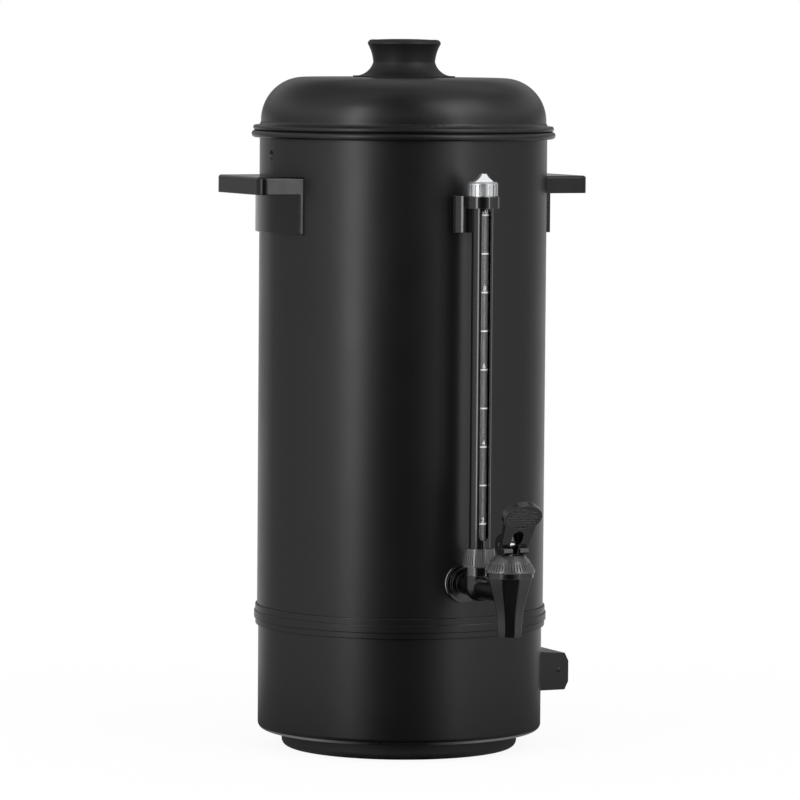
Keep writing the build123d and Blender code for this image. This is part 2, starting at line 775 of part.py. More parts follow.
tap_front = Plane(origin=(0, tap_y, 0), x_dir=(1, 0, 0), z_dir=(0, -1, 0))
tap_axis = Axis((0, tap_y, 0), (0, 0, 1))
with BuildPart() as tap_body:
    for height, flats in reversed(spout_profile):
        with BuildSketch(Plane((0, tap_y, tap_z + height))) as section:
            RegularPolygon(flats, spout_facets, major_radius=False)
            fillet(section.vertices(), radius=facet_edge * flats)
    loft()
    disc(collar_radius, collar_z, collar_top, at=(0, tap_y))
    disc(neck_radius, collar_top, neck_z, at=(0, tap_y))
    bar(flange_face, tap_flange_radius, tap_flange_thickness)
    bar(flange_face, tap_step_radius, tap_flange_thickness + tap_step_thickness)
    bar(flange_face, shank_radius, tap_reach - tap_seal_thickness)
    bar(flange_face, shank_thread_radius, -(tap_seal_thickness + tank_wall + shank_thread_length))
    with Locations((0, gauge_y, tap_z)):
        Sphere(stub_radius)
    disc(stub_radius, tap_z, boss_z, at=(0, gauge_y))
    disc(gauge_port, tap_z, boss_z, at=(0, gauge_y), mode=Mode.SUBTRACT)
    socket_hole = (socket_thread_radius + slip_gap, boss_z - socket_thread_length)
    disc(*socket_hole, stub_z, at=(0, gauge_y), mode=Mode.SUBTRACT)
    shank_end = shank_plane.offset(-tank_wall - shank_thread_length)
    bar(shank_end, shank_bore, tap_reach + tank_wall + shank_thread_length, Mode.SUBTRACT)
    disc(chamber_radius, seat_z, neck_z, at=(0, tap_y), mode=Mode.SUBTRACT)
    with BuildSketch(Plane((0, tap_y, chamber_z))):
        Circle(chamber_radius)
        Circle(seat_radius, mode=Mode.SUBTRACT)
    extrude(amount=seat_height, mode=Mode.SUBTRACT)
    disc(spout_bore, spout_z, seat_z, at=(0, tap_y), mode=Mode.SUBTRACT)
save(tap_body, "tap_body")

with BuildPart() as tap_outer_seal:
    bar(flange_face, tap_seal_radius, -2 * tap_seal_thickness)
    bar(flange_face, shank_thread_radius, -2 * tap_seal_thickness, Mode.SUBTRACT)
    disc(tank_radius, tap_z - tap_seal_radius, tap_z + tap_seal_radius, mode=Mode.SUBTRACT)
save(tap_outer_seal, "tap_outer_seal")

nut_face = inner_plane.offset(inner_seal_thickness)
with BuildPart() as tap_inner_seal:
    bar(nut_face, inner_seal_radius, -inner_seal_thickness - cut_margin)
    bar(nut_face, shank_thread_radius, -inner_seal_thickness - cut_margin, Mode.SUBTRACT)
    disc(tank_bore, tap_z - tap_seal_radius, tap_z + tap_seal_radius, mode=Mode.INTERSECT)
save(tap_inner_seal, "tap_inner_seal")

with BuildPart() as tap_inner_nut:
    with BuildSketch(nut_face):
        RegularPolygon(tap_nut_radius, 6)
        Circle(shank_thread_radius, mode=Mode.SUBTRACT)
    extrude(amount=tap_nut_thickness)
save(tap_inner_nut, "tap_inner_nut")

# The bonnet screws over the neck, holds the spring down and carries the cam face on its flat top.
shoulder = (bonnet_radius, bonnet_z + bonnet_skirt)
crown_edge = (bonnet_top_radius, bonnet_top)
crown_middle = (bonnet_mid_radius, bonnet_z + bonnet_mid_height)
bonnet_inner_top = neck_z + bonnet_seal_thickness
with BuildPart() as knurl_groove:
    with BuildSketch(Plane.XZ):
        with BuildLine():
            groove_foot = (bonnet_radius - knurl_depth, bonnet_z + knurl_foot)
            groove_middle = (bonnet_mid_radius - knurl_depth, bonnet_z + bonnet_mid_height - knurl_depth)
            groove_end = (bonnet_mid_radius - knurl_depth, bonnet_z + knurl_run)
            ThreePointArc(groove_foot, groove_middle, groove_end)
            Polyline(
                groove_end,
                (bonnet_radius + cut_margin, groove_end[1]),
                (bonnet_radius + cut_margin, groove_foot[1]),
                groove_foot,
            )
        make_face()
    extrude(amount=knurl_width / 2, both=True)

with BuildPart() as tap_bonnet:
    with BuildSketch(tap_front):
        with BuildLine():
            ThreePointArc(shoulder, crown_middle, crown_edge)
            Polyline(crown_edge, (0, bonnet_top), (0, bonnet_z), (bonnet_radius, bonnet_z), shoulder)
        make_face()
    revolve(axis=tap_axis)
    disc(neck_radius + slip_gap, bonnet_z, bonnet_inner_top, at=(0, tap_y), mode=Mode.SUBTRACT)
    disc(spring_room_radius, bonnet_inner_top, spring_top, at=(0, tap_y), mode=Mode.SUBTRACT)
    disc(stem_radius + running_gap, spring_top, bonnet_top, at=(0, tap_y), mode=Mode.SUBTRACT)
    with Locations((0, tap_y, 0)):
        with PolarLocations(0, bonnet_knurls):
            add(knurl_groove.part, mode=Mode.SUBTRACT)
save(tap_bonnet, "tap_bonnet")

with BuildPart() as bonnet_seal:
    disc(neck_radius, neck_z, bonnet_inner_top, at=(0, tap_y))
    disc(chamber_radius, neck_z, bonnet_inner_top, at=(0, tap_y), mode=Mode.SUBTRACT)
save(bonnet_seal, "bonnet_seal")

# ---------------------------------------------------------------- valve and lever
disc_low = cup_z + stem_disc_rise
disc_high = disc_low + stem_disc_thickness
lever_side = Plane(origin=(0, tap_y, pin_z), x_dir=(0, -1, 0), z_dir=(-1, 0, 0))
with BuildPart() as valve_stem:
    disc(stem_disc_radius, disc_low, disc_high, at=(0, tap_y))
    disc(stem_radius, disc_low, pin_z, at=(0, tap_y))
    disc(stem_washer_radius, cup_z + cup_height, spring_foot, at=(0, tap_y))
    with BuildSketch(lever_side):
        Circle(eye_radius)
    extrude(amount=eye_width / 2, both=True)
    with BuildSketch(lever_side):
        Circle(pin_radius)
    extrude(amount=eye_width, both=True, mode=Mode.SUBTRACT)
save(valve_stem, "valve_stem")

with BuildPart() as valve_cup:
    disc(cup_radius, cup_z, cup_z + cup_height, at=(0, tap_y))
    fillet(valve_cup.edges().group_by(Axis.Z)[0], radius=cup_edge)
    disc(stem_disc_radius, disc_low, disc_high, at=(0, tap_y), mode=Mode.SUBTRACT)
    disc(stem_radius, disc_high, cup_z + cup_height, at=(0, tap_y), mode=Mode.SUBTRACT)
save(valve_cup, "valve_cup")

with BuildPart() as valve_spring:
    low_coil = spring_foot + spring_wire_radius + slip_gap
    high_coil = spring_top - spring_wire_radius - slip_gap
    with BuildLine(Plane((0, tap_y, low_coil))) as coil:
        Helix((high_coil - low_coil) / spring_turns, high_coil - low_coil, spring_radius)
    with BuildSketch(Plane(origin=coil.line @ 0, z_dir=coil.line % 0)):
        RegularPolygon(spring_wire_radius, 8)
    sweep(is_frenet=True)
save(valve_spring, "valve_spring")

with BuildPart() as lever_pin:
    with BuildSketch(lever_side):
        Circle(pin_radius)
    extrude(amount=hub_half_width, both=True)
save(lever_pin, "lever_pin")


def cam_point(turn):
    """A point of the cam, ahead of and above the pin, that touches the bonnet at this turn.

    The bonnet's top is flat, so a curve that stays tangent to it while the pin rises by cam_rate
    for each radian is an involute.
    """
    height = pin_rise + cam_rate * turn
    ahead = height * sin(turn) + cam_rate * cos(turn)
    above = cam_rate * sin(turn) - height * cos(turn)
    return (ahead, above)


cam_curve = [cam_point(radians(cam_turn) * step / cam_points) for step in range(cam_points + 1)]
arm_front_face = Plane(
    origin=(0, tap_y - arm_front, pin_z),
    x_dir=(1, 0, 0),
    z_dir=(0, -cos(radians(arm_lean)), -sin(radians(arm_lean))),
)
with BuildPart() as tap_lever:
    with BuildSketch(lever_side):
        Circle(hub_radius)
    extrude(amount=hub_half_width, both=True)
    with BuildSketch(lever_side):
        with BuildLine():
            Spline(*cam_curve)
            toe_top = (cam_curve[-1][0], foot_plate_top)
            Polyline(cam_curve[-1], toe_top, (0, foot_plate_top), (0, -pin_rise), cam_curve[0])
        make_face()
    extrude(amount=foot_half_width, both=True)
    with BuildSketch(arm_front_face):
        with BuildLine():
            Polyline(
                (-arm_half_width, arm_foot),
                (arm_half_width, arm_foot),
                (arm_top_half_width, pad_centre - pad_half_height / 2),
                (-arm_top_half_width, pad_centre - pad_half_height / 2),
                close=True,
            )
        make_face()
        with Locations((0, pad_centre)):
            Ellipse(pad_half_width, pad_half_height)
    extrude(amount=-arm_thickness)
    with BuildSketch(lever_side):
        with BuildLine():
            hub_top = (0, hub_radius)
            Polyline(hub_top, (hub_radius, 0), (arm_front, 0), (brace_reach, brace_height), hub_top)
        make_face()
    extrude(amount=hub_half_width, both=True)
    with BuildSketch(arm_front_face):
        with Locations((0, pad_centre)):
            Ellipse(pad_half_width - pad_rim, pad_half_height - pad_rim)
        with GridLocations(0, rib_pitch, 1, pad_ribs):
            with Locations((0, pad_centre)):
                Rectangle(2 * pad_half_width, rib_width, mode=Mode.SUBTRACT)
    extrude(amount=-pad_dish, mode=Mode.SUBTRACT)
    with BuildSketch(lever_side):
        Circle(pin_radius + running_gap)
    extrude(amount=2 * hub_half_width, both=True, mode=Mode.SUBTRACT)
    with BuildSketch(lever_side):
        Circle(eye_radius + 2 * rest_gap)
        with Locations((slot_front / 2, -pin_rise / 2)):
            Rectangle(slot_front + 2 * (stem_radius + rest_gap), pin_rise + cut_margin)
    extrude(amount=lever_slot, both=True, mode=Mode.SUBTRACT)
    with BuildSketch(tap_front.offset(eye_radius)):
        with Locations((0, pin_z + window_top / 2)):
            Rectangle(2 * window_half_width, window_top)
        with Locations((0, pin_z + window_top)):
            Circle(window_half_width)
    extrude(amount=arm_thickness + arm_front, mode=Mode.SUBTRACT)
save(tap_lever, "tap_lever")

# ---------------------------------------------------------------- sight gauge
gauge_at = (0, gauge_y)
with BuildPart() as gauge_socket:
    disc(socket_thread_radius, boss_z - socket_thread_length, stub_z, at=gauge_at)
    disc(stub_radius, boss_z + slip_gap, stub_z, at=gauge_at)
    disc(spigot_radius, stub_z, spigot_z, at=gauge_at)
    disc(gauge_port, boss_z - socket_thread_length, spigot_z, at=gauge_at, mode=Mode.SUBTRACT)
    disc(glass_radius + slip_gap, glass_seat_z, spigot_z, at=gauge_at, mode=Mode.SUBTRACT)
save(gauge_socket, "gauge_socket")

glass_z = glass_seat_z + slip_gap
glass_top = bracket_top - glass_recess
with BuildPart() as gauge_glass:
    disc(glass_radius, glass_z, glass_top, at=gauge_at)
    disc(glass_bore, glass_z, glass_top, at=gauge_at, mode=Mode.SUBTRACT)
save(gauge_glass, "gauge_glass")

with BuildPart() as gauge_guard:
    disc(guard_radius, guard_z, guard_top, at=gauge_at)
    disc(guard_radius - guard_wall, guard_z, guard_top, at=gauge_at, mode=Mode.SUBTRACT)
    slot_low = gauge_nut_top + slot_foot
    slot_high = bracket_z - slot_head
    with BuildSketch(Plane.XZ.offset(-gauge_y)):
        with Locations((0, (slot_low + slot_high) / 2)):
            SlotOverall(slot_high - slot_low, guard_slot, rotation=90)
    extrude(amount=2 * guard_radius, mode=Mode.SUBTRACT)
save(gauge_guard, "gauge_guard")

top_seal_z = bracket_floor + bracket_web
with BuildPart() as gauge_seals:
    disc(spigot_radius, spigot_z, guard_z, at=gauge_at)
    disc(glass_radius, spigot_z, guard_z, at=gauge_at, mode=Mode.SUBTRACT)
    disc(cap_spigot_radius - slip_gap, top_seal_z, cap_z - cap_spigot_length - slip_gap, at=gauge_at)
    disc(glass_radius, top_seal_z, cap_z, at=gauge_at, mode=Mode.SUBTRACT)
save(gauge_seals, "gauge_seals")

with BuildPart() as nut_flute:
    with BuildSketch(Plane.XY.offset(gauge_nut_z + flute_inset)):
        with Locations((gauge_nut_radius - flute_depth / 2, 0)):
            RegularPolygon(flute_depth, 4)
    with BuildSketch(Plane.XY.offset(gauge_nut_top - flute_inset)):
        with Locations((gauge_nut_top_radius - flute_depth / 2, 0)):
            RegularPolygon(flute_depth, 4)
    loft(ruled=True)

with BuildPart() as gauge_nut:
    with BuildSketch(Plane.XZ):
        with BuildLine():
            Polyline(
                (0, gauge_nut_z),
                (gauge_nut_radius, gauge_nut_z),
                (gauge_nut_radius, gauge_nut_z + gauge_nut_edge),
                (gauge_nut_top_radius, gauge_nut_top),
                (0, gauge_nut_top),
                close=True,
            )
        make_face()
    revolve(axis=Axis.Z)
    with PolarLocations(0, gauge_nut_flutes):
        add(nut_flute.part, mode=Mode.SUBTRACT)
    disc(spigot_radius + slip_gap, gauge_nut_z, guard_z, mode=Mode.SUBTRACT)
    disc(guard_radius + slip_gap, guard_z, gauge_nut_top, mode=Mode.SUBTRACT)
gauge_nut.part = Pos(0, gauge_y, 0) * gauge_nut.part
save(gauge_nut, "gauge_nut")

with BuildPart() as gauge_bracket:
    disc(bracket_block_radius, bracket_top - bracket_block_height, bracket_top, at=(0, block_y))
    disc(bracket_ring_radius, bracket_z, bracket_top, at=gauge_at)
    with BuildSketch(Plane.XY.offset(bracket_z)):
        with Locations((0, (block_y + gauge_y) / 2)):
            Rectangle(bracket_neck_width, block_y - gauge_y)
    extrude(amount=bracket_ring_height)
    disc(tank_radius, bracket_top - bracket_block_height, bracket_top, mode=Mode.SUBTRACT)
    disc(guard_radius + slip_gap, bracket_z, bracket_floor, at=gauge_at, mode=Mode.SUBTRACT)
    disc(glass_radius + slip_gap, bracket_floor, top_seal_z, at=gauge_at, mode=Mode.SUBTRACT)
    disc(cap_spigot_radius + running_gap, top_seal_z, bracket_top, at=gauge_at, mode=Mode.SUBTRACT)
    bracket_seat = radial_plane(-90, head_seat, bracket_screw_z)
    bar(bracket_seat, bracket_screw_radius, bracket_screw_length + cut_margin, Mode.SUBTRACT)
save(gauge_bracket, "gauge_bracket")

with BuildPart() as bracket_screw:
    shank = (bracket_screw_radius, bracket_screw_length)
    pan_screw(bracket_seat, *shank, handle_head_radius, handle_head_height)
save(bracket_screw, "bracket_screw")

with BuildPart() as bracket_seal:
    bar(bracket_seat, handle_seal_radius, handle_seal_thickness + cut_margin)
    bar(bracket_seat, bracket_screw_radius, handle_seal_thickness + cut_margin, Mode.SUBTRACT)
    disc(tank_bore, bracket_top - bracket_block_height, bracket_top, mode=Mode.INTERSECT)
save(bracket_seal, "bracket_seal")

with BuildPart() as gauge_cap:
    disc(cap_spigot_radius, cap_z - cap_spigot_length, cap_z)
    disc(cap_radius, cap_z, cap_z + cap_height)
    chamfer(gauge_cap.edges().group_by(Axis.Z)[-1], length=cap_edge)
    with PolarLocations(cap_radius, cap_ribs):
        with Locations((0, 0, cap_z + cap_groove_length / 2)):
            Box(2 * cap_groove_depth, cap_groove_width, cap_groove_length, mode=Mode.SUBTRACT)
    with BuildSketch(Plane.XZ):
        with BuildLine():
            fin_foot = cap_z + cap_height
            left_end = (-fin_length / 2, fin_foot)
            fin_peak = (-fin_peak_half, fin_foot + fin_height)
            ThreePointArc(left_end, (-fin_hollow, fin_foot + fin_hollow_height), fin_peak)
            Polyline(
                fin_peak,
                (fin_peak_half, fin_foot + fin_height),
                (fin_step, fin_foot + fin_step_height),
                (fin_length / 2, fin_foot),
                (fin_length / 2, cap_z),
                (-fin_length / 2, cap_z),
                left_end,
            )
        make_face()
    extrude(amount=fin_thickness / 2, both=True)
    disc(cap_bore, cap_z - cap_spigot_length, cap_z + cap_height / 2, mode=Mode.SUBTRACT)
gauge_cap.part = Pos(0, gauge_y, 0) * gauge_cap.part
save(gauge_cap, "gauge_cap")

# ---------------------------------------------------------------- control box and mains inlet
outer_face = Plane.YZ.offset(box_x)
face_mid = (box_z + box_bevel + box_top - box_slope - box_bevel) / 2
with BuildPart() as control_box:
    with BuildSketch(Plane.XZ) as section:
        with BuildLine():
            Polyline(
                (box_root, box_z),
                (box_x - box_bevel_depth, box_z),
                (box_x, box_z + box_bevel),
                (box_x, box_top - box_slope - box_bevel),
                (box_x - box_bevel_depth, box_top - box_slope),
                (box_root, box_top),
                close=True,
            )
        make_face()
    extrude(amount=box_half_width, both=True)
    ends = control_box.faces().group_by(Axis.Y)
    rims = ends[0].edges() + ends[-1].edges()
    fillet(rims.filter_by(lambda e: e.center().X > box_x - box_bevel_depth), radius=box_corner)
    with BuildSketch(Plane.XZ):
        with BuildLine():
            inner_x = box_x - box_wall
            Polyline(
                (box_root, box_z + box_wall),
                (inner_x - box_bevel_depth, box_z + box_wall),
                (inner_x, box_z + box_bevel + box_wall / 2),
                (inner_x, box_top - box_slope - box_bevel - box_wall / 2),
                (inner_x - box_bevel_depth, box_top - box_slope - box_wall),
                (box_root, box_top - box_wall),
                close=True,
            )
        make_face()
    extrude(amount=box_half_width - box_wall, both=True, mode=Mode.SUBTRACT)
    for angle in box_screw_angles:
        bar(radial_plane(angle, box_root, box_mid), box_boss_radius, box_x - box_root - 2 * box_wall)
    with BuildSketch(Plane.XY.offset(box_z - box_flange)):
        Circle(housing_radius + box_flange_thickness)
        with Locations((housing_radius, 0)):
            Rectangle(2 * box_reach, 2 * (box_half_width + box_flange), mode=Mode.INTERSECT)
        with Locations((housing_radius, 0)):
            Rectangle(2 * box_reach, 2 * (box_half_width - box_wall), mode=Mode.SUBTRACT)
    extrude(amount=box_height + 2 * box_flange)
    disc(housing_radius, box_z - box_flange, box_top + box_flange, mode=Mode.SUBTRACT)
    for angle in box_screw_angles:
        bar(radial_plane(angle, housing_bore, box_mid), screw_radius, box_screw_length, Mode.SUBTRACT)
    with BuildSketch(outer_face):
        with Locations((rocker_y, face_mid)):
            Rectangle(switch_length + 2 * slip_gap, switch_height + 2 * slip_gap)
        with Locations((lamp_y, face_mid)):
            Circle(lamp_radius)
    extrude(amount=-2 * box_wall, mode=Mode.SUBTRACT)
save(control_box, "control_box")

with BuildPart() as box_screws:
    for angle in box_screw_angles:
        seat = radial_plane(angle, housing_bore - slip_gap, box_mid)
        pan_screw(seat, screw_radius, box_screw_length, screw_head_radius, screw_head_height)
save(box_screws, "control_box_screws")

pivot_x = box_x - rocker_pivot
with BuildPart() as switch_body:
    with BuildSketch(outer_face):
        with Locations((rocker_y, face_mid)):
            RectangleRounded(bezel_length, bezel_height, bezel_corner)
    extrude(amount=bezel_thickness)
    with BuildSketch(outer_face):
        with Locations((rocker_y, face_mid)):
            Rectangle(switch_length, switch_height)
    extrude(amount=-switch_depth)
    with BuildSketch(outer_face.offset(bezel_thickness)):
        with Locations((rocker_y, face_mid)):
            Rectangle(rocker_opening, rocker_height + 2 * rest_gap)
    extrude(amount=-(bezel_thickness + rocker_well), mode=Mode.SUBTRACT)
    with Locations((pivot_x, rocker_y, face_mid)):
        Cylinder(rocker_pin_radius + running_gap, rocker_pin_length + 2 * slip_gap, mode=Mode.SUBTRACT)
save(switch_body, "switch_body")

# The rocker is stored in its off position, tilted about its pivot.
rocker_plane = Plane(origin=(pivot_x, rocker_y, face_mid), x_dir=(0, 1, 0), z_dir=(0, 0, 1))
with BuildPart() as rocker:
    with BuildSketch(rocker_plane.rotated((0, 0, rocker_tilt))):
        with BuildLine():
            half = rocker_length / 2
            back_half = half - rocker_back_slope
            crest = (rocker_end_slope - half, -(rocker_pivot + rocker_ear))
            tail = (half - rocker_end_slope, -(rocker_pivot + rocker_ear))
            ThreePointArc(crest, (0, -(rocker_pivot + rocker_dish)), tail)
            Polyline(tail, (back_half, rocker_back), (-back_half, rocker_back), crest)
        make_face()
    extrude(amount=rocker_height / 2, both=True)
    with Locations((pivot_x, rocker_y, face_mid)):
        Cylinder(rocker_pin_radius, rocker_pin_length)
save(rocker, "rocker")

with BuildPart() as indicator_lamp:
    with BuildSketch(outer_face):
        with Locations((lamp_y, face_mid)):
            Circle(lamp_radius + lamp_collar)
    extrude(amount=lamp_collar)
    with BuildSketch(outer_face):
        with Locations((lamp_y, face_mid)):
            Circle(lamp_radius - slip_gap)
    extrude(amount=-lamp_depth)
    with BuildSketch(outer_face.offset(lamp_collar)):
        with Locations((lamp_y, face_mid)):
            Circle(lamp_radius - lamp_collar / 2)
    extrude(amount=lamp_rise - lamp_collar, taper=lamp_taper)
save(indicator_lamp, "indicator_lamp")

inlet_front = housing_radius + inlet_flange
with BuildPart() as power_inlet:
    with BuildSketch(Plane.XY.offset(inlet_z - inlet_height / 2)):
        Circle(inlet_front)
        Circle(housing_radius, mode=Mode.SUBTRACT)
        with Locations((0, inlet_front)):
            Rectangle(inlet_length, inlet_depth, mode=Mode.INTERSECT)
    extrude(amount=inlet_height)
    inlet_face = Plane(origin=(0, inlet_front, inlet_z), x_dir=(-1, 0, 0), z_dir=(0, 1, 0))
    with BuildSketch(inlet_face):
        RectangleRounded(inlet_body_width, inlet_body_height, inlet_corner)
    extrude(amount=-inlet_depth)
    with BuildSketch(inlet_face):
        RectangleRounded(socket_width, socket_height, socket_corner)
    extrude(amount=-socket_depth, mode=Mode.SUBTRACT)
    for angle in inlet_screw_angles:
        bar(radial_plane(angle, housing_radius, inlet_z), screw_radius, inlet_flange, Mode.SUBTRACT)
save(power_inlet, "power_inlet")

with BuildPart() as inlet_pins_set:
    with BuildSketch(inlet_face.offset(-socket_depth)):
        with Locations(*inlet_pins):
            Rectangle(inlet_pin_thickness, inlet_pin_width)
    extrude(amount=socket_depth - inlet_pin_foot)
save(inlet_pins_set, "power_inlet_pins")

with BuildPart() as inlet_screws:
    for angle in inlet_screw_angles:
        outward = radial_plane(angle, inlet_front, inlet_z)
        seat = Plane(origin=outward.origin, x_dir=(0, 0, 1), z_dir=-outward.z_dir)
        pan_screw(seat, screw_radius, inlet_screw_length, screw_head_radius, screw_head_height)
save(inlet_screws, "power_inlet_screws")

# ---------------------------------------------------------------- heater
with BuildPart() as heater_plate:
    disc(heater_radius, heater_z, heater_top)
    disc(stud_radius + slip_gap, heater_z, heater_top, mode=Mode.SUBTRACT)
save(heater_plate, "heater_plate")

with BuildPart() as heating_element:
    start = (360 - element_arc) / 2
    with BuildSketch(Plane.XZ.rotated((0, 0, start))):
        with Locations((element_ring, element_z)):
            Circle(element_radius)
    revolve(axis=Axis.Z, revolution_arc=element_arc)
    for angle in (start, -start):
        leg_at = (element_ring * cos(radians(angle)), element_ring * sin(radians(angle)))
        disc(element_radius, element_z - element_leg, element_z, at=leg_at)
        with Locations((leg_at[0], leg_at[1], element_z)):
            Sphere(element_radius)
save(heating_element, "heating_element")

with BuildPart() as heater_stud:
    disc(stud_radius, heater_top - stud_length, heater_top)
save(heater_stud, "heater_stud")

with BuildPart() as heater_clamp:
    with BuildSketch(Plane.XY.offset(clamp_z)):
        SlotOverall(clamp_length, clamp_width, rotation=90)
        Circle(stud_radius + slip_gap, mode=Mode.SUBTRACT)
    extrude(amount=clamp_thickness)
save(heater_clamp, "heater_clamp")

with BuildPart() as heater_nut:
    with BuildSketch(Plane.XY.offset(clamp_z - nut_height)):
        RegularPolygon(nut_radius, 6)
        Circle(stud_radius, mode=Mode.SUBTRACT)
    extrude(amount=nut_height)
save(heater_nut, "heater_nut")

for side, name in ((1, "thermostat"), (-1, "thermal_cutout")):
    with BuildPart() as sensor:
        disc(thermostat_radius, heater_z - thermostat_height, heater_z, at=(side * thermostat_r, 0))
        with BuildSketch(Plane.XY.offset(heater_z - sensor_lug_thickness)):
            with Locations((side * thermostat_r, 0)):
                SlotOverall(sensor_lug_length, sensor_lug_width)
        extrude(amount=sensor_lug_thickness)
        with BuildSketch(Plane.XY.offset(heater_z - thermostat_height - tab_length)):
            with Locations((side * thermostat_r, tab_spacing / 2), (side * thermostat_r, -tab_spacing / 2)):
                Rectangle(tab_width, tab_thickness)
        extrude(amount=tab_length)
    save(sensor, name)

terminal_z = plate_z + plate_thickness
with BuildPart() as terminal_block:
    with BuildSketch(Plane.XY.offset(terminal_z)):
        with Locations((terminal_x, 0)):
            Rectangle(terminal_width, terminal_length)
    extrude(amount=terminal_height)
    chamfer(terminal_block.edges().group_by(Axis.Z)[-1], length=terminal_edge)
    with Locations((terminal_x, 0, terminal_z + terminal_height)):
        with GridLocations(terminal_width / 2, terminal_length / terminal_rows, 2, terminal_rows):
            Cylinder(terminal_bore, 2 * terminal_bore_depth, mode=Mode.SUBTRACT)
save(terminal_block, "terminal_block")
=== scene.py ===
"""Finishes, gauge scale and studio of the hot water urn, laid out as an add-on and run as a script."""

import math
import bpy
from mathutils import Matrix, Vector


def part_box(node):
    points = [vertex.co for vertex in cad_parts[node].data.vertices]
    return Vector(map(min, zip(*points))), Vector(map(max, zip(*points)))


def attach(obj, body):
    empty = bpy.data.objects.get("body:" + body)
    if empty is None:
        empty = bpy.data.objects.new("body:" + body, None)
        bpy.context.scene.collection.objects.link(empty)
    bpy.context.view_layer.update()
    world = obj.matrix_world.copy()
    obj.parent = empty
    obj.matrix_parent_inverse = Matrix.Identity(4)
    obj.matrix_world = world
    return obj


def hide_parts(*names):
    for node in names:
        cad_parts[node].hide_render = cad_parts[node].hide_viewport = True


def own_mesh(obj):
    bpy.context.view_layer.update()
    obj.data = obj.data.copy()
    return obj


bl_info = {
    "name": "Hot Water Urn",
    "version": (1, 0, 0),
    "blender": (4, 5, 0),
    "location": "3D View > Sidebar > Urn",
    "description": "Finishes, gauge scale and studio of a hot water urn",
    "category": "Object",
}

import bmesh
import bpy
from bpy.props import FloatProperty, FloatVectorProperty, IntProperty, PointerProperty
from mathutils import Quaternion, Vector

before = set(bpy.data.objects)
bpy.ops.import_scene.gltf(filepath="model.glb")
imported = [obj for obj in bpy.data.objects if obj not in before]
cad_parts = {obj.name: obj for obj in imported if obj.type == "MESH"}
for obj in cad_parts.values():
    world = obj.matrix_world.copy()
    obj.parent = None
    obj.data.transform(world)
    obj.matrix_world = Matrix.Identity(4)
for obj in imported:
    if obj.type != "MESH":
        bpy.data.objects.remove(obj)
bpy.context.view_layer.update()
tube_low, tube_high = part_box("gauge_glass")
drum_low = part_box("tank")[0]

MM = 0.001
WHITE = (1, 1, 1, 1)

MIDDLE = (0.3, 0.7)         # where most of a soft grain's values lie
LINES = (0.25, 0.75)        # where most values of drawn or brushed lines lie
FLECKS = (0.55, 0.7)        # the upper part of a grain, which stands out as flecks


# ---------------------------------------------------------------- what a user would change


class DrumFinish(bpy.types.PropertyGroup):
    coat: FloatVectorProperty(
        name="Coat", description="Colour of the drum's powder coat", subtype="COLOR", size=3, min=0, max=1,
        default=(0.0024, 0.0024, 0.0026))
    coat_rough: FloatProperty(
        name="Coat roughness", description="Roughness of the coat between its pebbles", subtype="FACTOR",
        min=0, max=1, default=0.34)
    pebble: FloatProperty(
        name="Pebble", description="Width of the coat's fine orange peel", subtype="DISTANCE",
        unit="LENGTH", min=0.1 * MM, default=1.1 * MM)
    pebble_depth: FloatProperty(
        name="Pebble depth", description="Height of the orange peel", subtype="DISTANCE", unit="LENGTH",
        min=0, default=0.03 * MM)
    inside: FloatProperty(
        name="Inside", description="Radius inside which the sheet is left bare", subtype="DISTANCE",
        unit="LENGTH", default=106.5 * MM)
    sheet: FloatVectorProperty(
        name="Sheet", description="Colour of the bare stainless sheet inside", subtype="COLOR", size=3,
        min=0, max=1, default=(0.56, 0.55, 0.53))


class MouldingFinish(bpy.types.PropertyGroup):
    plastic: FloatVectorProperty(
        name="Plastic", description="Colour of the black mouldings", subtype="COLOR", size=3, min=0, max=1,
        default=(0.003, 0.003, 0.0032))
    rough: FloatProperty(
        name="Roughness", description="Roughness of a polished moulding", subtype="FACTOR", min=0, max=1,
        default=0.09)
    knurled: FloatVectorProperty(
        name="Knurled", description="Colour of the tap's bonnet and the gauge's nut", subtype="COLOR",
        size=3, min=0, max=1, default=(0.045, 0.045, 0.047))
    # The edges of tap and gauge are painted paler by this much: a painted highlight along their rims.
    rubbed: FloatProperty(
        name="Highlight", description="How much paler the edges of tap and gauge are", min=0, max=1,
        default=0.16)
    foot: FloatVectorProperty(
        name="Foot", description="Colour of the grained foot ring", subtype="COLOR", size=3, min=0, max=1,
        default=(0.011, 0.011, 0.012))
    lamp: FloatVectorProperty(
        name="Lamp lens", description="Colour of the indicator's lens", subtype="COLOR", size=3, min=0,
        max=1, default=(0.5, 0.025, 0.012))


class MetalFinish(bpy.types.PropertyGroup):
    chrome: FloatVectorProperty(
        name="Chrome", description="Colour of the gauge cap's plating; its socket's is darker",
        subtype="COLOR", size=3, min=0, max=1, default=(0.7, 0.71, 0.72))
    zinc: FloatVectorProperty(
        name="Zinc", description="Colour of screws, stem, spring and bottom plate", subtype="COLOR", size=3,
        min=0, max=1, default=(0.58, 0.58, 0.57))
    aluminium: FloatVectorProperty(
        name="Aluminium", description="Colour of the heater plate", subtype="COLOR", size=3, min=0, max=1,
        default=(0.7, 0.71, 0.72))
    brass: FloatVectorProperty(
        name="Brass", description="Colour of the inlet's pins", subtype="COLOR", size=3, min=0, max=1,
        default=(0.74, 0.55, 0.24))


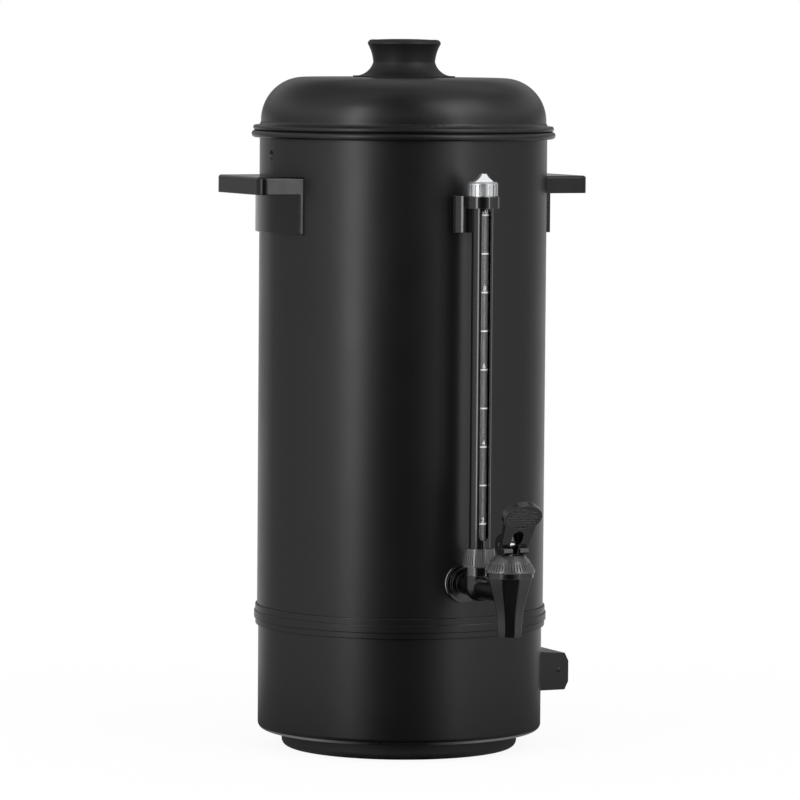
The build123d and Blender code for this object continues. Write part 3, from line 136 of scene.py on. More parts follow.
class GaugeScale(bpy.types.PropertyGroup):
    ink: FloatVectorProperty(
        name="Ink", description="Colour of the printed scale", subtype="COLOR", size=3, min=0, max=1,
        default=(0.86, 0.87, 0.86))
    lowest: IntProperty(name="Lowest", description="Litres at the lowest line", min=1, default=2)
    highest: IntProperty(name="Highest", description="Litres at the highest line", min=2, default=10)
    numbered: IntProperty(
        name="Numbered", description="Litres from one number to the next", min=1, default=2)
    lowest_height: FloatProperty(
        name="Lowest height", description="Height of the lowest line over the foot", subtype="DISTANCE",
        unit="LENGTH", default=178.6 * MM)
    litre: FloatProperty(
        name="Litre", description="Height that one litre takes in the drum", subtype="DISTANCE",
        unit="LENGTH", min=1 * MM, default=27.94 * MM)
    line: FloatProperty(
        name="Line", description="Thickness of a line", subtype="DISTANCE", unit="LENGTH", min=0.1 * MM,
        default=1.1 * MM)
    reach: FloatProperty(
        name="Reach", description="How far a line runs round the tube to each side", subtype="ANGLE",
        unit="ROTATION", default=math.radians(56))
    figure: FloatProperty(
        name="Figure", description="Height of a number", subtype="DISTANCE", unit="LENGTH", min=1 * MM,
        default=3.7 * MM)


class Studio(bpy.types.PropertyGroup):
    floor: FloatVectorProperty(
        name="Floor", description="Colour of the floor", subtype="COLOR", size=3, min=0, max=1,
        default=(0.82, 0.82, 0.82))
    key: FloatProperty(
        name="Key", description="Brightness of the left strip box's face", min=0, default=3.7)
    side: FloatProperty(
        name="Side", description="Brightness of the right strip box's face", min=0, default=2.5)
    fill: FloatProperty(
        name="Fill", description="Brightness of the high right soft box's face", min=0, default=1.6)
    over: FloatProperty(
        name="Over", description="Brightness of the overhead box's face", min=0, default=0.4)
    high: FloatProperty(
        name="High", description="Brightness in gloss of the room above eye height", min=0, default=0.35)
    room: FloatProperty(
        name="Room", description="Brightness of the room for matt surfaces", min=0, default=0.9)
    bearing: FloatProperty(
        name="Bearing", description="Turn of the camera from the tap's front towards its left",
        subtype="ANGLE", unit="ROTATION", default=math.radians(25))


# ---------------------------------------------------------------- steps that the finishes share


def add(tree, kind, inputs=None, **settings):
    """A node in the tree with its settings made and its inputs set or linked."""
    node = tree.nodes.new(kind)
    for name, value in settings.items():
        setattr(node, name, value)
    for name, value in (inputs or {}).items():
        socket = node.inputs[name]
        if isinstance(value, bpy.types.NodeSocket):
            tree.links.new(value, socket)
        else:
            socket.default_value = value
    return node


def new_finish(name, even):
    """A finish whose even settings stand on the shader's own sockets, with its tree and its shader."""
    made = bpy.data.materials.new(name)
    made.use_nodes = True
    tree = made.node_tree
    tree.nodes.clear()
    shader = add(tree, "ShaderNodeBsdfPrincipled", even)
    output = add(tree, "ShaderNodeOutputMaterial")
    tree.links.new(shader.outputs[0], output.inputs["Surface"])
    return made, tree, shader


def drive(tree, shader, **sources):
    """Links worked-out values to the shader's sockets."""
    for name, source in sources.items():
        tree.links.new(source, shader.inputs[name.replace("_", " ")])


def place(tree):
    """The point on the piece, in metres."""
    return add(tree, "ShaderNodeTexCoord").outputs["Object"]


def stretched(tree, where, x=1, y=1, z=1):
    """The point with each axis scaled, which stretches the grain that is laid over it."""
    return add(tree, "ShaderNodeMapping", {"Vector": where, "Scale": (x, y, z)}).outputs[0]


def grain(tree, where, width, detail=2):
    """Soft random grain of about that width, from 0 to 1."""
    return add(tree, "ShaderNodeTexNoise",
               {"Vector": where, "Scale": 1 / width, "Detail": detail}).outputs[0]


def cells(tree, where, width):
    """Distance to the middle of the nearest random cell of about that width."""
    return add(tree, "ShaderNodeTexVoronoi", {"Vector": where, "Scale": 1 / width}).outputs["Distance"]


def sums(tree, operation, *values):
    """A number worked out from others."""
    return add(tree, "ShaderNodeMath", dict(enumerate(values)), operation=operation).outputs[0]


def vectors(tree, operation, *values):
    """A vector worked out from others, or a number where the operation gives one."""
    node = add(tree, "ShaderNodeVectorMath", dict(enumerate(values)), operation=operation)
    return node.outputs["Value" if operation in ("DOT_PRODUCT", "LENGTH") else "Vector"]


def levelled(tree, vector):
    """The vector without its upward part."""
    return vectors(tree, "MULTIPLY", vector, (1, 1, 0))


def upward_part(tree, vector):
    """How far the vector goes up."""
    return add(tree, "ShaderNodeSeparateXYZ", {0: vector}).outputs[2]


def spread(tree, value, span, onto=(0, 1)):
    """The value's span laid onto another span and held inside it."""
    return add(tree, "ShaderNodeMapRange", {"Value": value, "From Min": span[0], "From Max": span[1],
                                            "To Min": onto[0], "To Max": onto[1]}).outputs[0]


def between(tree, factor, first, second):
    """A colour or value that goes from the first to the second as the factor goes from 0 to 1."""
    colour = not isinstance(first, (int, float)) and not (
        isinstance(first, bpy.types.NodeSocket) and first.type == "VALUE")
    node = add(tree, "ShaderNodeMix", {0: factor}, data_type="RGBA" if colour else "FLOAT")
    # The node has sockets for each kind of data under the same names, so these are told apart by index.
    from_socket, to_socket, result = (6, 7, 2) if colour else (2, 3, 0)
    for index, value in ((from_socket, first), (to_socket, second)):
        if isinstance(value, bpy.types.NodeSocket):
            tree.links.new(value, node.inputs[index])
        else:
            node.inputs[index].default_value = (*value, 1.0) if colour else value
    return node.outputs[result]


def toned(colour, factor):
    """The colour made lighter or darker."""
    return tuple(min(1.0, part * factor) for part in colour)


def patchy(tree, pattern, colour, low, high):
    """The colour toned by the low factor where the pattern is 0 and by the high one where it is 1."""
    return between(tree, pattern, toned(colour, low), toned(colour, high))


def relief(tree, height, depth, below=None):
    """A surface direction that the height raises by the depth, over another relief if one is given."""
    node = add(tree, "ShaderNodeBump", {"Height": height, "Distance": depth})
    if below is not None:
        tree.links.new(below, node.inputs["Normal"])
    return node.outputs[0]


def seen(tree, path):
    """1 where the eye looks, straight or through glass, and 0 elsewhere."""
    return sums(tree, "MAXIMUM", path.outputs["Is Camera Ray"], path.outputs["Is Transmission Ray"])


def dress(finish, *nodes):
    """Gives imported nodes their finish."""
    for name in nodes:
        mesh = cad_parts[name].data
        if len(mesh.materials) == 0:
            mesh.materials.append(finish)
        for index in range(len(mesh.materials)):
            mesh.materials[index] = finish


# ---------------------------------------------------------------- finishes


def bare_faces(tree, where, facing, inside):
    """1 on every face of drum and lid that looks at the water, and 0 on the coated ones."""
    turned_in, turned_down, turned_up = -0.3, -0.5, 0.5
    floor_reach = 40 * MM       # the drum's floor lies below this height over its lowest edge
    flat = levelled(tree, where)
    outward = vectors(tree, "DOT_PRODUCT", facing, vectors(tree, "NORMALIZE", flat))
    upward = upward_part(tree, facing)
    within = sums(tree, "LESS_THAN", vectors(tree, "LENGTH", flat), inside)
    low = sums(tree, "LESS_THAN", upward_part(tree, where), drum_low.z + floor_reach)
    wall = sums(tree, "LESS_THAN", outward, turned_in)
    roof = sums(tree, "MULTIPLY", within, sums(tree, "LESS_THAN", upward, turned_down))
    floor = sums(tree, "MULTIPLY", sums(tree, "MULTIPLY", within, low),
                 sums(tree, "GREATER_THAN", upward, turned_up))
    return sums(tree, "MAXIMUM", wall, sums(tree, "MAXIMUM", roof, floor))


def powder_coat(drum):
    """Black powder coat outside and bare stainless sheet on every face that looks at the water."""
    made, tree, shader = new_finish("powder_coat", {"IOR": 1.5})
    spot = add(tree, "ShaderNodeTexCoord")
    where = spot.outputs["Object"]
    bare = bare_faces(tree, where, spot.outputs["Normal"], drum.inside)

    cloud = grain(tree, where, width=70 * MM, detail=3)
    pebble = grain(tree, where, width=drum.pebble)
    dust = grain(tree, where, width=0.35 * MM, detail=1)
    coat = patchy(tree, cloud, drum.coat, low=0.8, high=1.25)
    coat_rough = sums(tree, "ADD", spread(tree, cloud, MIDDLE, (-0.03, 0.03)),
                      spread(tree, dust, MIDDLE, (drum.coat_rough - 0.03, drum.coat_rough + 0.04)))
    brushed = grain(tree, stretched(tree, where, z=0.012), width=0.5 * MM, detail=3)
    stain = grain(tree, where, width=24 * MM, detail=4)
    sheet = patchy(tree, stain, drum.sheet, low=0.82, high=1.12)
    sheet_rough = spread(tree, brushed, LINES, (0.2, 0.4))
    bumped = relief(tree, pebble, depth=drum.pebble_depth)
    bumped = relief(tree, dust, depth=0.004 * MM, below=bumped)
    drive(tree, shader, Base_Color=between(tree, bare, coat, sheet), Metallic=bare,
          Roughness=between(tree, bare, coat_rough, sheet_rough), Normal=bumped)
    return made


def rubbed_edges(tree, soft):
    """How far the softened surface direction leaves the plain one: 0 on a flat face and 1 on an edge. It
    marks where the edges are painted paler as a painted highlight.
    """
    flat, sharpest = 0.98, 0.75
    plain = add(tree, "ShaderNodeNewGeometry").outputs["Normal"]
    return spread(tree, vectors(tree, "DOT_PRODUCT", soft, plain), (flat, sharpest))


def moulded_black(name, colour, rough, shine=0.5, edge=0.3 * MM, wave_depth=0.012 * MM, rub_and_edge_highlight=0.0):
    """Black moulding with softened edges that are painted paler by the given amount as a painted highlight,
    slight waves, faint smears and hairline scratches.
    """
    made, tree, shader = new_finish(name, {"IOR": 1.49, "Specular IOR Level": shine})
    hairlines = (0.62, 0.72)
    where = place(tree)
    smear = grain(tree, where, width=14 * MM, detail=4)
    hair = grain(tree, stretched(tree, where, y=0.05), width=0.25 * MM)
    scratch = spread(tree, hair, hairlines, (0, 0.1))
    soft = add(tree, "ShaderNodeBevel", {"Radius": edge}, samples=6).outputs[0]
    bumped = relief(tree, grain(tree, where, width=9 * MM), depth=wave_depth, below=soft)
    bumped = relief(tree, grain(tree, where, width=0.3 * MM), depth=0.0015 * MM, below=bumped)
    # The edges' colour is made paler by the given amount: a painted highlight along the rims.
    wear_and_highlight = tuple(part + rub_and_edge_highlight for part in colour)
    drive(tree, shader,
          Base_Color=between(tree, rubbed_edges(tree, soft),
                             patchy(tree, smear, colour, low=0.8, high=1.3), wear_and_highlight),
          Roughness=sums(tree, "ADD", spread(tree, smear, MIDDLE, (rough - 0.03, rough + 0.05)), scratch),
          Normal=bumped)
    return made


def grained_black(colour):
    """Matt black moulding with a spark-eroded grain, a little paler where it rubs."""
    made, tree, shader = new_finish("grained_black", {"IOR": 1.49})
    where = place(tree)
    pit = cells(tree, where, width=0.7 * MM)
    rub_and_edge_highlight = grain(tree, where, width=20 * MM, detail=4)
    drive(tree, shader,
          Base_Color=patchy(tree, rub_and_edge_highlight, colour, low=0.75, high=1.4),
          Roughness=spread(tree, rub_and_edge_highlight, MIDDLE, (0.5, 0.62)),
          Normal=relief(tree, pit, depth=0.03 * MM))
    return made


def plating(name, colour, rough):
    """Bright plating with a faint haze and fingered smears."""
    made, tree, shader = new_finish(name, {"Metallic": 1.0})
    where = place(tree)
    haze = grain(tree, where, width=6 * MM, detail=4)
    drive(tree, shader,
          Base_Color=patchy(tree, haze, colour, low=0.9, high=1.06),
          Roughness=spread(tree, haze, MIDDLE, (rough - 0.06, rough + 0.08)),
          Normal=relief(tree, grain(tree, where, width=0.4 * MM), depth=0.001 * MM))
    return made


def clear_tube():
    """Slightly milky drawn glass with a thin haze of lime towards its foot."""
    made, tree, shader = new_finish("clear_tube", {"Transmission Weight": 0.91, "IOR": 1.47})
    clean, limed = (0.95, 0.96, 0.955), (0.88, 0.9, 0.89)
    where = place(tree)
    low = spread(tree, upward_part(tree, where), (tube_low.z, tube_high.z), (1, 0))
    lime = grain(tree, stretched(tree, where, z=0.2), width=2 * MM, detail=3)
    haze = sums(tree, "MULTIPLY", low, lime)
    drawn = grain(tree, stretched(tree, where, z=0.05), width=1.5 * MM, detail=1)
    drive(tree, shader,
          Base_Color=between(tree, haze, clean, limed),
          Roughness=spread(tree, haze, (0.1, 0.8), (0, 0.1)),
          Normal=relief(tree, drawn, depth=0.002 * MM))
    return made


def silicone():
    """Milky silicone rubber with a dusty bloom."""
    made, tree, shader = new_finish(
        "silicone", {"IOR": 1.41, "Subsurface Weight": 0.3, "Subsurface Scale": 1 * MM,
                     "Subsurface Radius": (1.0, 1.0, 1.0)})
    plain, bloomed = (0.42, 0.43, 0.41), (0.6, 0.61, 0.59)
    where = place(tree)
    bloom = grain(tree, where, width=3 * MM, detail=4)
    dust = grain(tree, where, width=0.35 * MM, detail=3)
    drive(tree, shader,
          Base_Color=between(tree, bloom, plain, bloomed),
          Roughness=spread(tree, bloom, MIDDLE, (0.4, 0.6)),
          Normal=relief(tree, dust, depth=0.008 * MM))
    return made


def turned_metal(name, colour, rough, width=0.3 * MM, pull=(1, 1, 0.06), mottle=0.15, depth=0.003 * MM):
    """Drawn, turned or cast metal: fine lines along the pull, with a mottled colour."""
    made, tree, shader = new_finish(name, {"Metallic": 1.0})
    where = place(tree)
    lines = grain(tree, stretched(tree, where, *pull), width, detail=3)
    patch = grain(tree, where, width=5 * MM, detail=4)
    drive(tree, shader,
          Base_Color=patchy(tree, patch, colour, low=1 - mottle, high=1 + mottle),
          Roughness=spread(tree, lines, LINES, (rough - 0.08, rough + 0.1)),
          Normal=relief(tree, lines, depth))
    return made


def heated_sheath():
    """Steel sheath tinted straw to blue-grey by its heat, with a dull oxide."""
    made, tree, shader = new_finish("heated_sheath", {"Metallic": 1.0})
    straw, blue_grey, dull = (0.24, 0.19, 0.13), (0.17, 0.18, 0.22), (0.3, 0.29, 0.28)
    where = place(tree)
    band = grain(tree, where, width=30 * MM, detail=3)
    oxide = grain(tree, where, width=0.8 * MM, detail=4)
    tint = between(tree, spread(tree, band, (0.4, 0.6)), straw, blue_grey)
    drive(tree, shader,
          Base_Color=between(tree, spread(tree, oxide, FLECKS, (0, 0.6)), tint, dull),
          Roughness=spread(tree, oxide, MIDDLE, (0.38, 0.58)),
          Normal=relief(tree, oxide, depth=0.006 * MM))
    return made


def pressed_resin():
    """Dark phenolic with short fibre flecks."""
    made, tree, shader = new_finish("pressed_resin", {"IOR": 1.6})
    resin, fibre = (0.022, 0.018, 0.015), (0.06, 0.045, 0.033)
    fleck = grain(tree, stretched(tree, place(tree), y=0.4), width=0.4 * MM)
    drive(tree, shader,
          Base_Color=between(tree, spread(tree, fleck, FLECKS), resin, fibre),
          Roughness=spread(tree, fleck, MIDDLE, (0.34, 0.5)),
          Normal=relief(tree, fleck, depth=0.005 * MM))
    return made


def steatite():
    """Unglazed white ceramic, slightly gritty, with a few grey specks."""
    made, tree, shader = new_finish("steatite", {"IOR": 1.6})
    white, grey = (0.8, 0.79, 0.75), (0.45, 0.42, 0.38)
    where = place(tree)
    speck = spread(tree, cells(tree, where, width=2.2 * MM), (0.06, 0.12), (1, 0))
    grit = grain(tree, where, width=0.4 * MM, detail=3)
    drive(tree, shader,
          Base_Color=between(tree, speck, white, grey),
          Roughness=spread(tree, grit, MIDDLE, (0.5, 0.68)),
          Normal=relief(tree, grit, depth=0.01 * MM))
    return made


def tinted_lens(colour):
    """Tinted clear moulding with fine prism lines, about 1.7 mm apart."""
    made, tree, shader = new_finish("tinted_lens", {"IOR": 1.49, "Transmission Weight": 0.35})
    prism_scale = 190.0
    where = place(tree)
    prism = add(tree, "ShaderNodeTexWave", {"Vector": where, "Scale": prism_scale, "Distortion": 0.0},
                bands_direction="Z").outputs[0]
    cloud = grain(tree, where, width=4 * MM)
    drive(tree, shader,
          Base_Color=patchy(tree, cloud, colour, low=0.8, high=1.15),
          Roughness=spread(tree, cloud, MIDDLE, (0.1, 0.18)),
          Normal=relief(tree, prism, depth=0.05 * MM))
    return made


def fired_ink(colour):
    """White ink fired onto the glass, thin and slightly wearing away at its pinholes."""
    made, tree, shader = new_finish("fired_ink", {"IOR": 1.5})
    pinholes, most_worn = (0.62, 0.75), 0.5
    wear_and_highlight = spread(tree, grain(tree, place(tree), width=0.35 * MM, detail=3), pinholes, (0, most_worn))
    drive(tree, shader,
          Base_Color=patchy(tree, wear_and_highlight, colour, low=1, high=0.72),
          Roughness=spread(tree, wear_and_highlight, (0, most_worn), (0.38, 0.55)),
          Normal=relief(tree, wear_and_highlight, depth=0.004 * MM))
    return made


# ---------------------------------------------------------------- operators


class URN_OT_coat_drum(bpy.types.Operator):
    """Coats the drum, its band, its base and the lid"""

    bl_idname = "urn.coat_drum"
    bl_label = "Coat drum"

    def execute(self, context):
        dress(powder_coat(context.scene.urn_drum), "tank", "lid", "base_housing", "joint_band")
        return {"FINISHED"}


class URN_OT_finish_mouldings(bpy.types.Operator):
    """Finishes the knob, handles, tap, gauge fittings, control box, inlet, switch, lamp and foot"""

    bl_idname = "urn.finish_mouldings"
    bl_label = "Finish mouldings"

    def execute(self, context):
        finish = context.scene.urn_mouldings
        plastic, rough = finish.plastic, finish.rough
        dress(moulded_black("handle_moulding", plastic, rough + 0.06, shine=0.42, edge=1.4 * MM),
              "left_handle", "right_handle")
        # Tap and gauge mouldings, the knurled ones too, get the painted highlight along their edges.
        dress(moulded_black("polished_moulding", plastic, rough, shine=0.8, rub_and_edge_highlight=finish.rubbed),
              "tap_body", "tap_lever", "tap_inner_nut", "gauge_guard", "gauge_bracket")
        dress(moulded_black("knurled_moulding", finish.knurled, rough + 0.08, shine=0.9, rub_and_edge_highlight=finish.rubbed),
              "tap_bonnet", "gauge_nut")
        dress(moulded_black("satin_moulding", plastic, rough + 0.46), "lid_knob")
        dress(moulded_black("box_moulding", toned(plastic, 1.3), rough + 0.2, wave_depth=0.02 * MM),
              "control_box", "power_inlet", "switch_body")
        dress(moulded_black("rocker_moulding", toned(plastic, 1.6), rough + 0.06), "rocker")
        dress(grained_black(finish.foot), "foot_ring")
        dress(tinted_lens(finish.lamp), "indicator_lamp")
        return {"FINISHED"}


class URN_OT_finish_gauge(bpy.types.Operator):
    """Finishes the gauge's glass tube and its plated cap and socket"""

    bl_idname = "urn.finish_gauge"
    bl_label = "Finish gauge"

    def execute(self, context):
        dress(clear_tube(), "gauge_glass")
        chrome = context.scene.urn_metals.chrome
        dress(plating("cap_plating", chrome, rough=0.4), "gauge_cap")
        dress(plating("socket_plating", toned(chrome, 0.2), rough=0.14), "gauge_socket")
        return {"FINISHED"}


class URN_OT_finish_seals(bpy.types.Operator):
    """Finishes the silicone seals and the valve's cup"""

    bl_idname = "urn.finish_seals"
    bl_label = "Finish seals"

    def execute(self, context):
        dress(silicone(), "gauge_seals", "handle_seals", "bracket_seal", "tap_outer_seal",
              "tap_inner_seal", "bonnet_seal", "valve_cup")
        return {"FINISHED"}


class URN_OT_finish_metals(bpy.types.Operator):
    """Finishes the fasteners, the valve's stem, pin and spring, the bottom plate and the inlet's pins"""

    bl_idname = "urn.finish_metals"
    bl_label = "Finish metals"

    def execute(self, context):
        metals = context.scene.urn_metals
        dress(turned_metal("zinc_screws", metals.zinc, rough=0.3),
              "base_screws", "handle_screws", "bracket_screw", "lid_knob_screw", "lid_knob_washer",
              "control_box_screws", "power_inlet_screws", "heater_stud", "heater_nut", "heater_clamp")
        dress(turned_metal("valve_steel", toned(metals.zinc, 1.08), rough=0.24, pull=(1, 1, 1)),
              "valve_stem", "valve_spring", "lever_pin")
        dress(turned_metal("rolled_sheet", metals.zinc, rough=0.36, pull=(0.03, 1, 1), mottle=0.1),
              "bottom_plate")
        dress(turned_metal("bare_brass", metals.brass, rough=0.26, pull=(1, 0.06, 1)), "power_inlet_pins")
        return {"FINISHED"}


class URN_OT_finish_heater(bpy.types.Operator):
    """Finishes the heater plate, its element, the sensors and the terminal block"""

    bl_idname = "urn.finish_heater"
    bl_label = "Finish heater"

    def execute(self, context):
        dress(turned_metal("cast_plate", context.scene.urn_metals.aluminium, rough=0.42, width=0.9 * MM,
                           pull=(1, 1, 1), depth=0.02 * MM), "heater_plate")
        dress(heated_sheath(), "heating_element")
        dress(pressed_resin(), "thermostat", "thermal_cutout")
        dress(steatite(), "terminal_block")
        return {"FINISHED"}


class URN_OT_seat_spring(bpy.types.Operator):
    """Puts a copy of the valve's spring, with a mesh of its own, on the valve's body in place of the packed
    one
    """

    bl_idname = "urn.seat_spring"
    bl_label = "Seat spring"

    def execute(self, context):
        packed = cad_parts["valve_spring"]
        coil = bpy.data.objects.new("coil_spring", packed.data.copy())
        coil.matrix_world = packed.matrix_world.copy()
        context.scene.collection.objects.link(coil)
        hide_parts("valve_spring")
        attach(coil, "valve")
        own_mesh(coil)
        return {"FINISHED"}


def line_shape(half_width, thickness, lengths=16):
    """A flat strip in short lengths, so that it can bend."""
    shape = bmesh.new()
    low = [shape.verts.new((half_width * (2 * i / lengths - 1), -thickness / 2, 0))
           for i in range(lengths + 1)]
    high = [shape.verts.new((point.co.x, thickness / 2, 0)) for point in low]
    for i in range(lengths):
        shape.faces.new((low[i], low[i + 1], high[i + 1], high[i]))
    return shape


def figure_shape(text, tall, foot):
    """A number's outline filled and cut fine enough to bend, with its foot at the given height."""
    capital, longest_edge, cuts = 0.7, tall / 8, 2
    letters = bpy.data.curves.new("figure", "FONT")
    letters.body = text
    letters.size = tall / capital
    letters.resolution_u = 6
    holder = bpy.data.objects.new("figure", letters)
    flat = bpy.data.meshes.new_from_object(holder)
    shape = bmesh.new()
    shape.from_mesh(flat)
    bpy.data.objects.remove(holder)
    bpy.data.curves.remove(letters)
    bpy.data.meshes.remove(flat)
    bmesh.ops.triangulate(shape, faces=shape.faces[:])
    for _ in range(cuts):
        long_edges = [edge for edge in shape.edges if edge.calc_length() > longest_edge]
        bmesh.ops.subdivide_edges(shape, edges=long_edges, cuts=1)
        bmesh.ops.triangulate(shape, faces=shape.faces[:])
    across = [point.co.x for point in shape.verts]
    up = [point.co.y for point in shape.verts]
    middle, scale = (min(across) + max(across)) / 2, tall / (max(up) - min(up))
    for point in shape.verts:
        point.co = ((point.co.x - middle) * scale, (point.co.y - min(up)) * scale + foot, 0)
    return shape


def wrapped(shape, height, radius, centre):
    """Lays a flat shape round the tube's front: its x runs round the tube, and its y stands up."""
    for point in shape.verts:
        angle = point.co.x / radius
        point.co = (centre.x + radius * math.sin(angle), centre.y - radius * math.cos(angle),
                    height + point.co.y)


def merge(shape, into):
    """Adds a flat shape to the print and frees it."""
    piece = bpy.data.meshes.new("print")
    shape.to_mesh(piece)
    shape.free()
    into.from_mesh(piece)
    bpy.data.meshes.remove(piece)


class URN_OT_print_scale(bpy.types.Operator):
    """Prints the gauge's lines and numbers on its glass tube"""

    bl_idname = "urn.print_scale"
    bl_label = "Print scale"

    def execute(self, context):
        ink_lift, figure_gap = 0.03 * MM, 0.45 * MM
        scale = context.scene.urn_scale
        centre = (tube_low + tube_high) / 2
        radius = (tube_high.x - tube_low.x) / 2 + ink_lift
        printed = bmesh.new()
        for litres in range(scale.lowest, scale.highest + 1):
            height = scale.lowest_height + (litres - scale.lowest) * scale.litre
            shapes = [line_shape(scale.reach * radius, scale.line)]
            if (litres - scale.lowest) % scale.numbered == 0:
                shapes.append(figure_shape(str(litres), scale.figure, scale.line / 2 + figure_gap))
            for shape in shapes:
                wrapped(shape, height, radius, centre)
                merge(shape, printed)
        sheet = bpy.data.meshes.new("gauge_scale")
        printed.to_mesh(sheet)
        printed.free()
        scale_piece = bpy.data.objects.new("gauge_scale", sheet)
        context.scene.collection.objects.link(scale_piece)
        sheet.materials.append(fired_ink(scale.ink))
        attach(scale_piece, "urn")
        return {"FINISHED"}


# ---------------------------------------------------------------- stage


def bearing_from_camera(turn, studio):
    """A flat direction from the urn, turned to the viewer's right of the camera."""
    angle = -studio.bearing + turn
    return Vector((math.sin(angle), -math.cos(angle), 0))


def aimed(holder, eye, way, roll=0.0):
    """Stands a lamp or camera at the eye point, looking the given way and rolled round it."""
    holder.location = eye
    holder.rotation_mode = "QUATERNION"
    holder.rotation_quaternion = way.to_track_quat("-Z", "Y") @ Quaternion((0, 0, 1), roll)


def soft_box(name, studio, turn, rise, away, wide, tall, level, aim=0.27):
    """A soft box whose face has the given brightness, aimed at the drum. It is turned from the camera to the
    viewer's right and raised, both in degrees."""
    target = Vector((0, 0, aim))
    rise = math.radians(rise)
    way = bearing_from_camera(math.radians(turn), studio) * math.cos(rise) + Vector((0, 0, math.sin(rise)))
    lamp = bpy.data.lights.new(name, "AREA")
    lamp.shape = "RECTANGLE"
    lamp.size, lamp.size_y = wide, tall
    lamp.energy = level * math.pi * wide * tall
    holder = bpy.data.objects.new(name, lamp)
    aimed(holder, target + way * away, -way)
    holder.visible_camera = False
    bpy.context.scene.collection.objects.link(holder)


def room_glow(tree, where, studio, behind):
    """The room's brightness in gloss. It rises from the rear round both flanks, has a dark gap in front,
    and right behind the urn it is changed by the given level."""
    dim, bright, dark = 0.32, 0.76, 0.03
    # Ahead is 1 straight in front of the urn, 0 at either side and -1 straight behind it.
    front = tuple(bearing_from_camera(0, studio))
    ahead = vectors(tree, "DOT_PRODUCT", vectors(tree, "NORMALIZE", levelled(tree, where)), front)
    flanks = spread(tree, ahead, (-0.5, 0.45), (dim, bright))
    rear = spread(tree, ahead, (-0.6, -1.0))
    gap = spread(tree, ahead, (0.76, 0.98), (1, dark))
    glow = sums(tree, "ADD", flanks, sums(tree, "MULTIPLY", rear, behind))
    return sums(tree, "MULTIPLY", glow, gap)


def pale_floor(studio):
    """White to the eye, with a little of the urn's shadow near it. In gloss it shows the room's glow, which
    is dimmer near the urn."""
    made = bpy.data.materials.new("pale_floor")
    made.use_nodes = True
    tree = made.node_tree
    tree.nodes.clear()
    white_near, glow_near = 0.92, 0.3
    where = place(tree)
    path = add(tree, "ShaderNodeLightPath")
    # Far is the distance from the urn's axis, in metres.
    far = vectors(tree, "LENGTH", where)
    white = sums(tree, "MULTIPLY", seen(tree, path), spread(tree, far, (0.1, 0.8), (white_near, 1)))
    glow = sums(tree, "MULTIPLY", room_glow(tree, where, studio, behind=0.6),
                spread(tree, far, (0.15, 0.6), (glow_near, 1)))
    pale = add(tree, "ShaderNodeBsdfDiffuse", {"Color": (*studio.floor, 1), "Roughness": 0.5})
    shine = add(tree, "ShaderNodeEmission", {"Color": WHITE, "Strength": 1.0})
    eye = add(tree, "ShaderNodeMixShader", {0: white, 1: pale.outputs[0], 2: shine.outputs[0]})
    soft = add(tree, "ShaderNodeEmission", {"Color": WHITE, "Strength": glow})
    both = add(tree, "ShaderNodeMixShader", {
        0: path.outputs["Is Glossy Ray"], 1: eye.outputs[0], 2: soft.outputs[0]})
    output = add(tree, "ShaderNodeOutputMaterial")
    tree.links.new(both.outputs[0], output.inputs["Surface"])
    return made


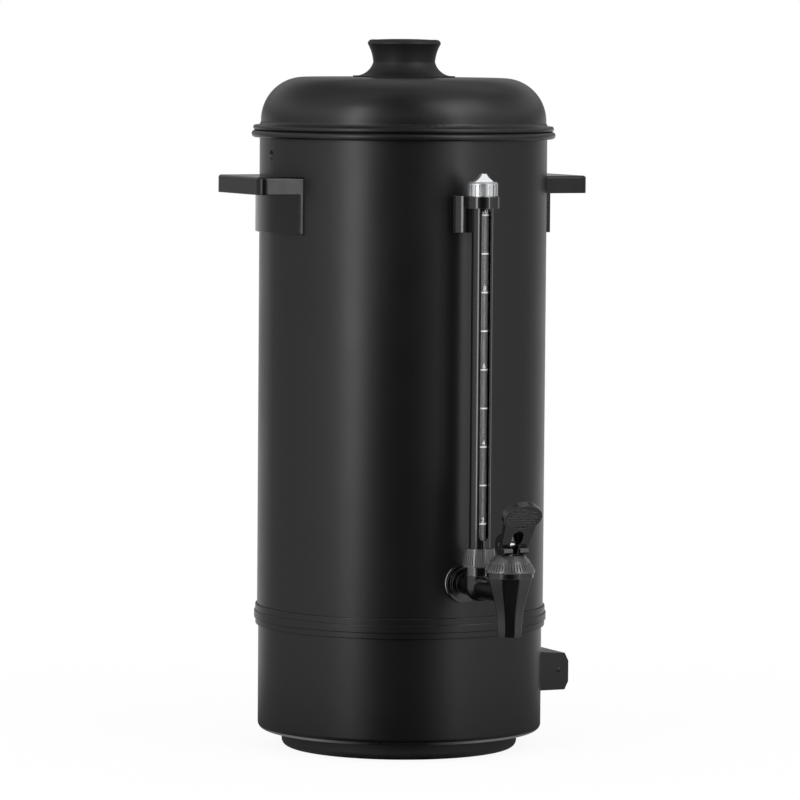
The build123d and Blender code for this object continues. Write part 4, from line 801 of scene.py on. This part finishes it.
class URN_OT_set_stage(bpy.types.Operator):
    """Makes the pale floor, the white surround, the soft boxes and the camera"""

    bl_idname = "urn.set_stage"
    bl_label = "Set stage"

    def execute(self, context):
        studio = context.scene.urn_studio
        self.camera(context, studio)
        self.floor(context, studio)
        self.surround(context, studio)
        soft_box("key_box", studio, turn=-38, rise=12, away=1.7, wide=0.4, tall=1.7, level=studio.key,
                 aim=0.4)
        soft_box("side_box", studio, turn=45, rise=12, away=1.7, wide=0.25, tall=1.7, level=studio.side,
                 aim=0.4)
        soft_box("fill_box", studio, turn=50, rise=40, away=2.0, wide=1.3, tall=1.0, level=studio.fill,
                 aim=0.35)
        soft_box("over_box", studio, turn=160, rise=66, away=1.9, wide=1.6, tall=1.2, level=studio.over)
        context.scene.view_settings.view_transform = "Standard"
        return {"FINISHED"}

    def camera(self, context, studio):
        """A long lens at about the height of the lid, aimed at the urn's middle and leaning a little."""
        away, eye_height, aim_height = 3.874, 0.5344, 0.259
        side, lean = 1.1 * MM, math.radians(0.45)
        sensor, focal_length = 36, 234      # millimetres, as cameras are set
        front = bearing_from_camera(0, studio)
        lens = bpy.data.cameras.new("camera")
        lens.sensor_width, lens.lens = sensor, focal_length
        eye = front * away + Vector((0, 0, eye_height))
        aim = front.cross(Vector((0, 0, 1))) * side + Vector((0, 0, aim_height))
        holder = bpy.data.objects.new("camera", lens)
        aimed(holder, eye, aim - eye, lean)
        context.scene.collection.objects.link(holder)
        context.scene.camera = holder

    def floor(self, context, studio):
        """A round floor under the urn."""
        shape = bmesh.new()
        bmesh.ops.create_circle(shape, cap_ends=True, segments=96, radius=2.9)
        ground = bpy.data.meshes.new("floor")
        shape.to_mesh(ground)
        shape.free()
        sheet = bpy.data.objects.new("floor", ground)
        context.scene.collection.objects.link(sheet)
        ground.materials.append(pale_floor(studio))

    def surround(self, context, studio):
        """White to the eye and of an even level for matt surfaces. In gloss it shows the room's glow, which
        is brighter low behind the urn, and a band of light above eye height."""
        world = bpy.data.worlds.new("studio")
        world.use_nodes = True
        tree = world.node_tree
        tree.nodes.clear()
        brighter, darker = 0.5, -0.15
        path = add(tree, "ShaderNodeLightPath")
        way = add(tree, "ShaderNodeTexCoord").outputs["Generated"]
        # Up is 0 at the horizon and 1 straight overhead.
        up = upward_part(tree, way)
        behind = spread(tree, up, (-0.02, 0.1), (brighter, darker))
        band = sums(tree, "MULTIPLY", spread(tree, up, (0.1, 0.26), (0, studio.high)),
                    spread(tree, up, (0.34, 0.6), (1, 0)))
        gloss = sums(tree, "ADD", room_glow(tree, way, studio, behind), band)
        level = between(tree, path.outputs["Is Glossy Ray"], studio.room, gloss)
        light = add(tree, "ShaderNodeBackground", {
            "Color": WHITE, "Strength": between(tree, seen(tree, path), level, 1.0)})
        output = add(tree, "ShaderNodeOutputWorld")
        tree.links.new(light.outputs[0], output.inputs["Surface"])
        context.scene.world = world


# ---------------------------------------------------------------- panel and running order


class URN_PT_urn(bpy.types.Panel):
    """Lists the urn's settings and the steps that make it"""

    bl_label = "Hot Water Urn"
    bl_idname = "URN_PT_urn"
    bl_space_type = "VIEW_3D"
    bl_region_type = "UI"
    bl_category = "Urn"

    def draw(self, context):
        for title, group in groups.items():
            box = self.layout.box()
            box.label(text=title.removeprefix("urn_").capitalize())
            for name in group.__annotations__:
                box.prop(getattr(context.scene, title), name)
        for step in steps:
            self.layout.operator(step.bl_idname)


groups = {
    "urn_drum": DrumFinish,
    "urn_mouldings": MouldingFinish,
    "urn_metals": MetalFinish,
    "urn_scale": GaugeScale,
    "urn_studio": Studio,
}
steps = (
    URN_OT_set_stage,
    URN_OT_coat_drum,
    URN_OT_finish_mouldings,
    URN_OT_finish_gauge,
    URN_OT_finish_seals,
    URN_OT_finish_metals,
    URN_OT_finish_heater,
    URN_OT_seat_spring,
    URN_OT_print_scale,
)


def register():
    for kind in (*groups.values(), *steps, URN_PT_urn):
        bpy.utils.register_class(kind)
    for name, group in groups.items():
        setattr(bpy.types.Scene, name, PointerProperty(type=group))


def unregister():
    for name in groups:
        delattr(bpy.types.Scene, name)
    for kind in reversed((*groups.values(), *steps, URN_PT_urn)):
        bpy.utils.unregister_class(kind)


def main():
    register()
    for step in steps:
        family, name = step.bl_idname.split(".")
        getattr(getattr(bpy.ops, family), name)()


if __name__ == "__main__":
    main()
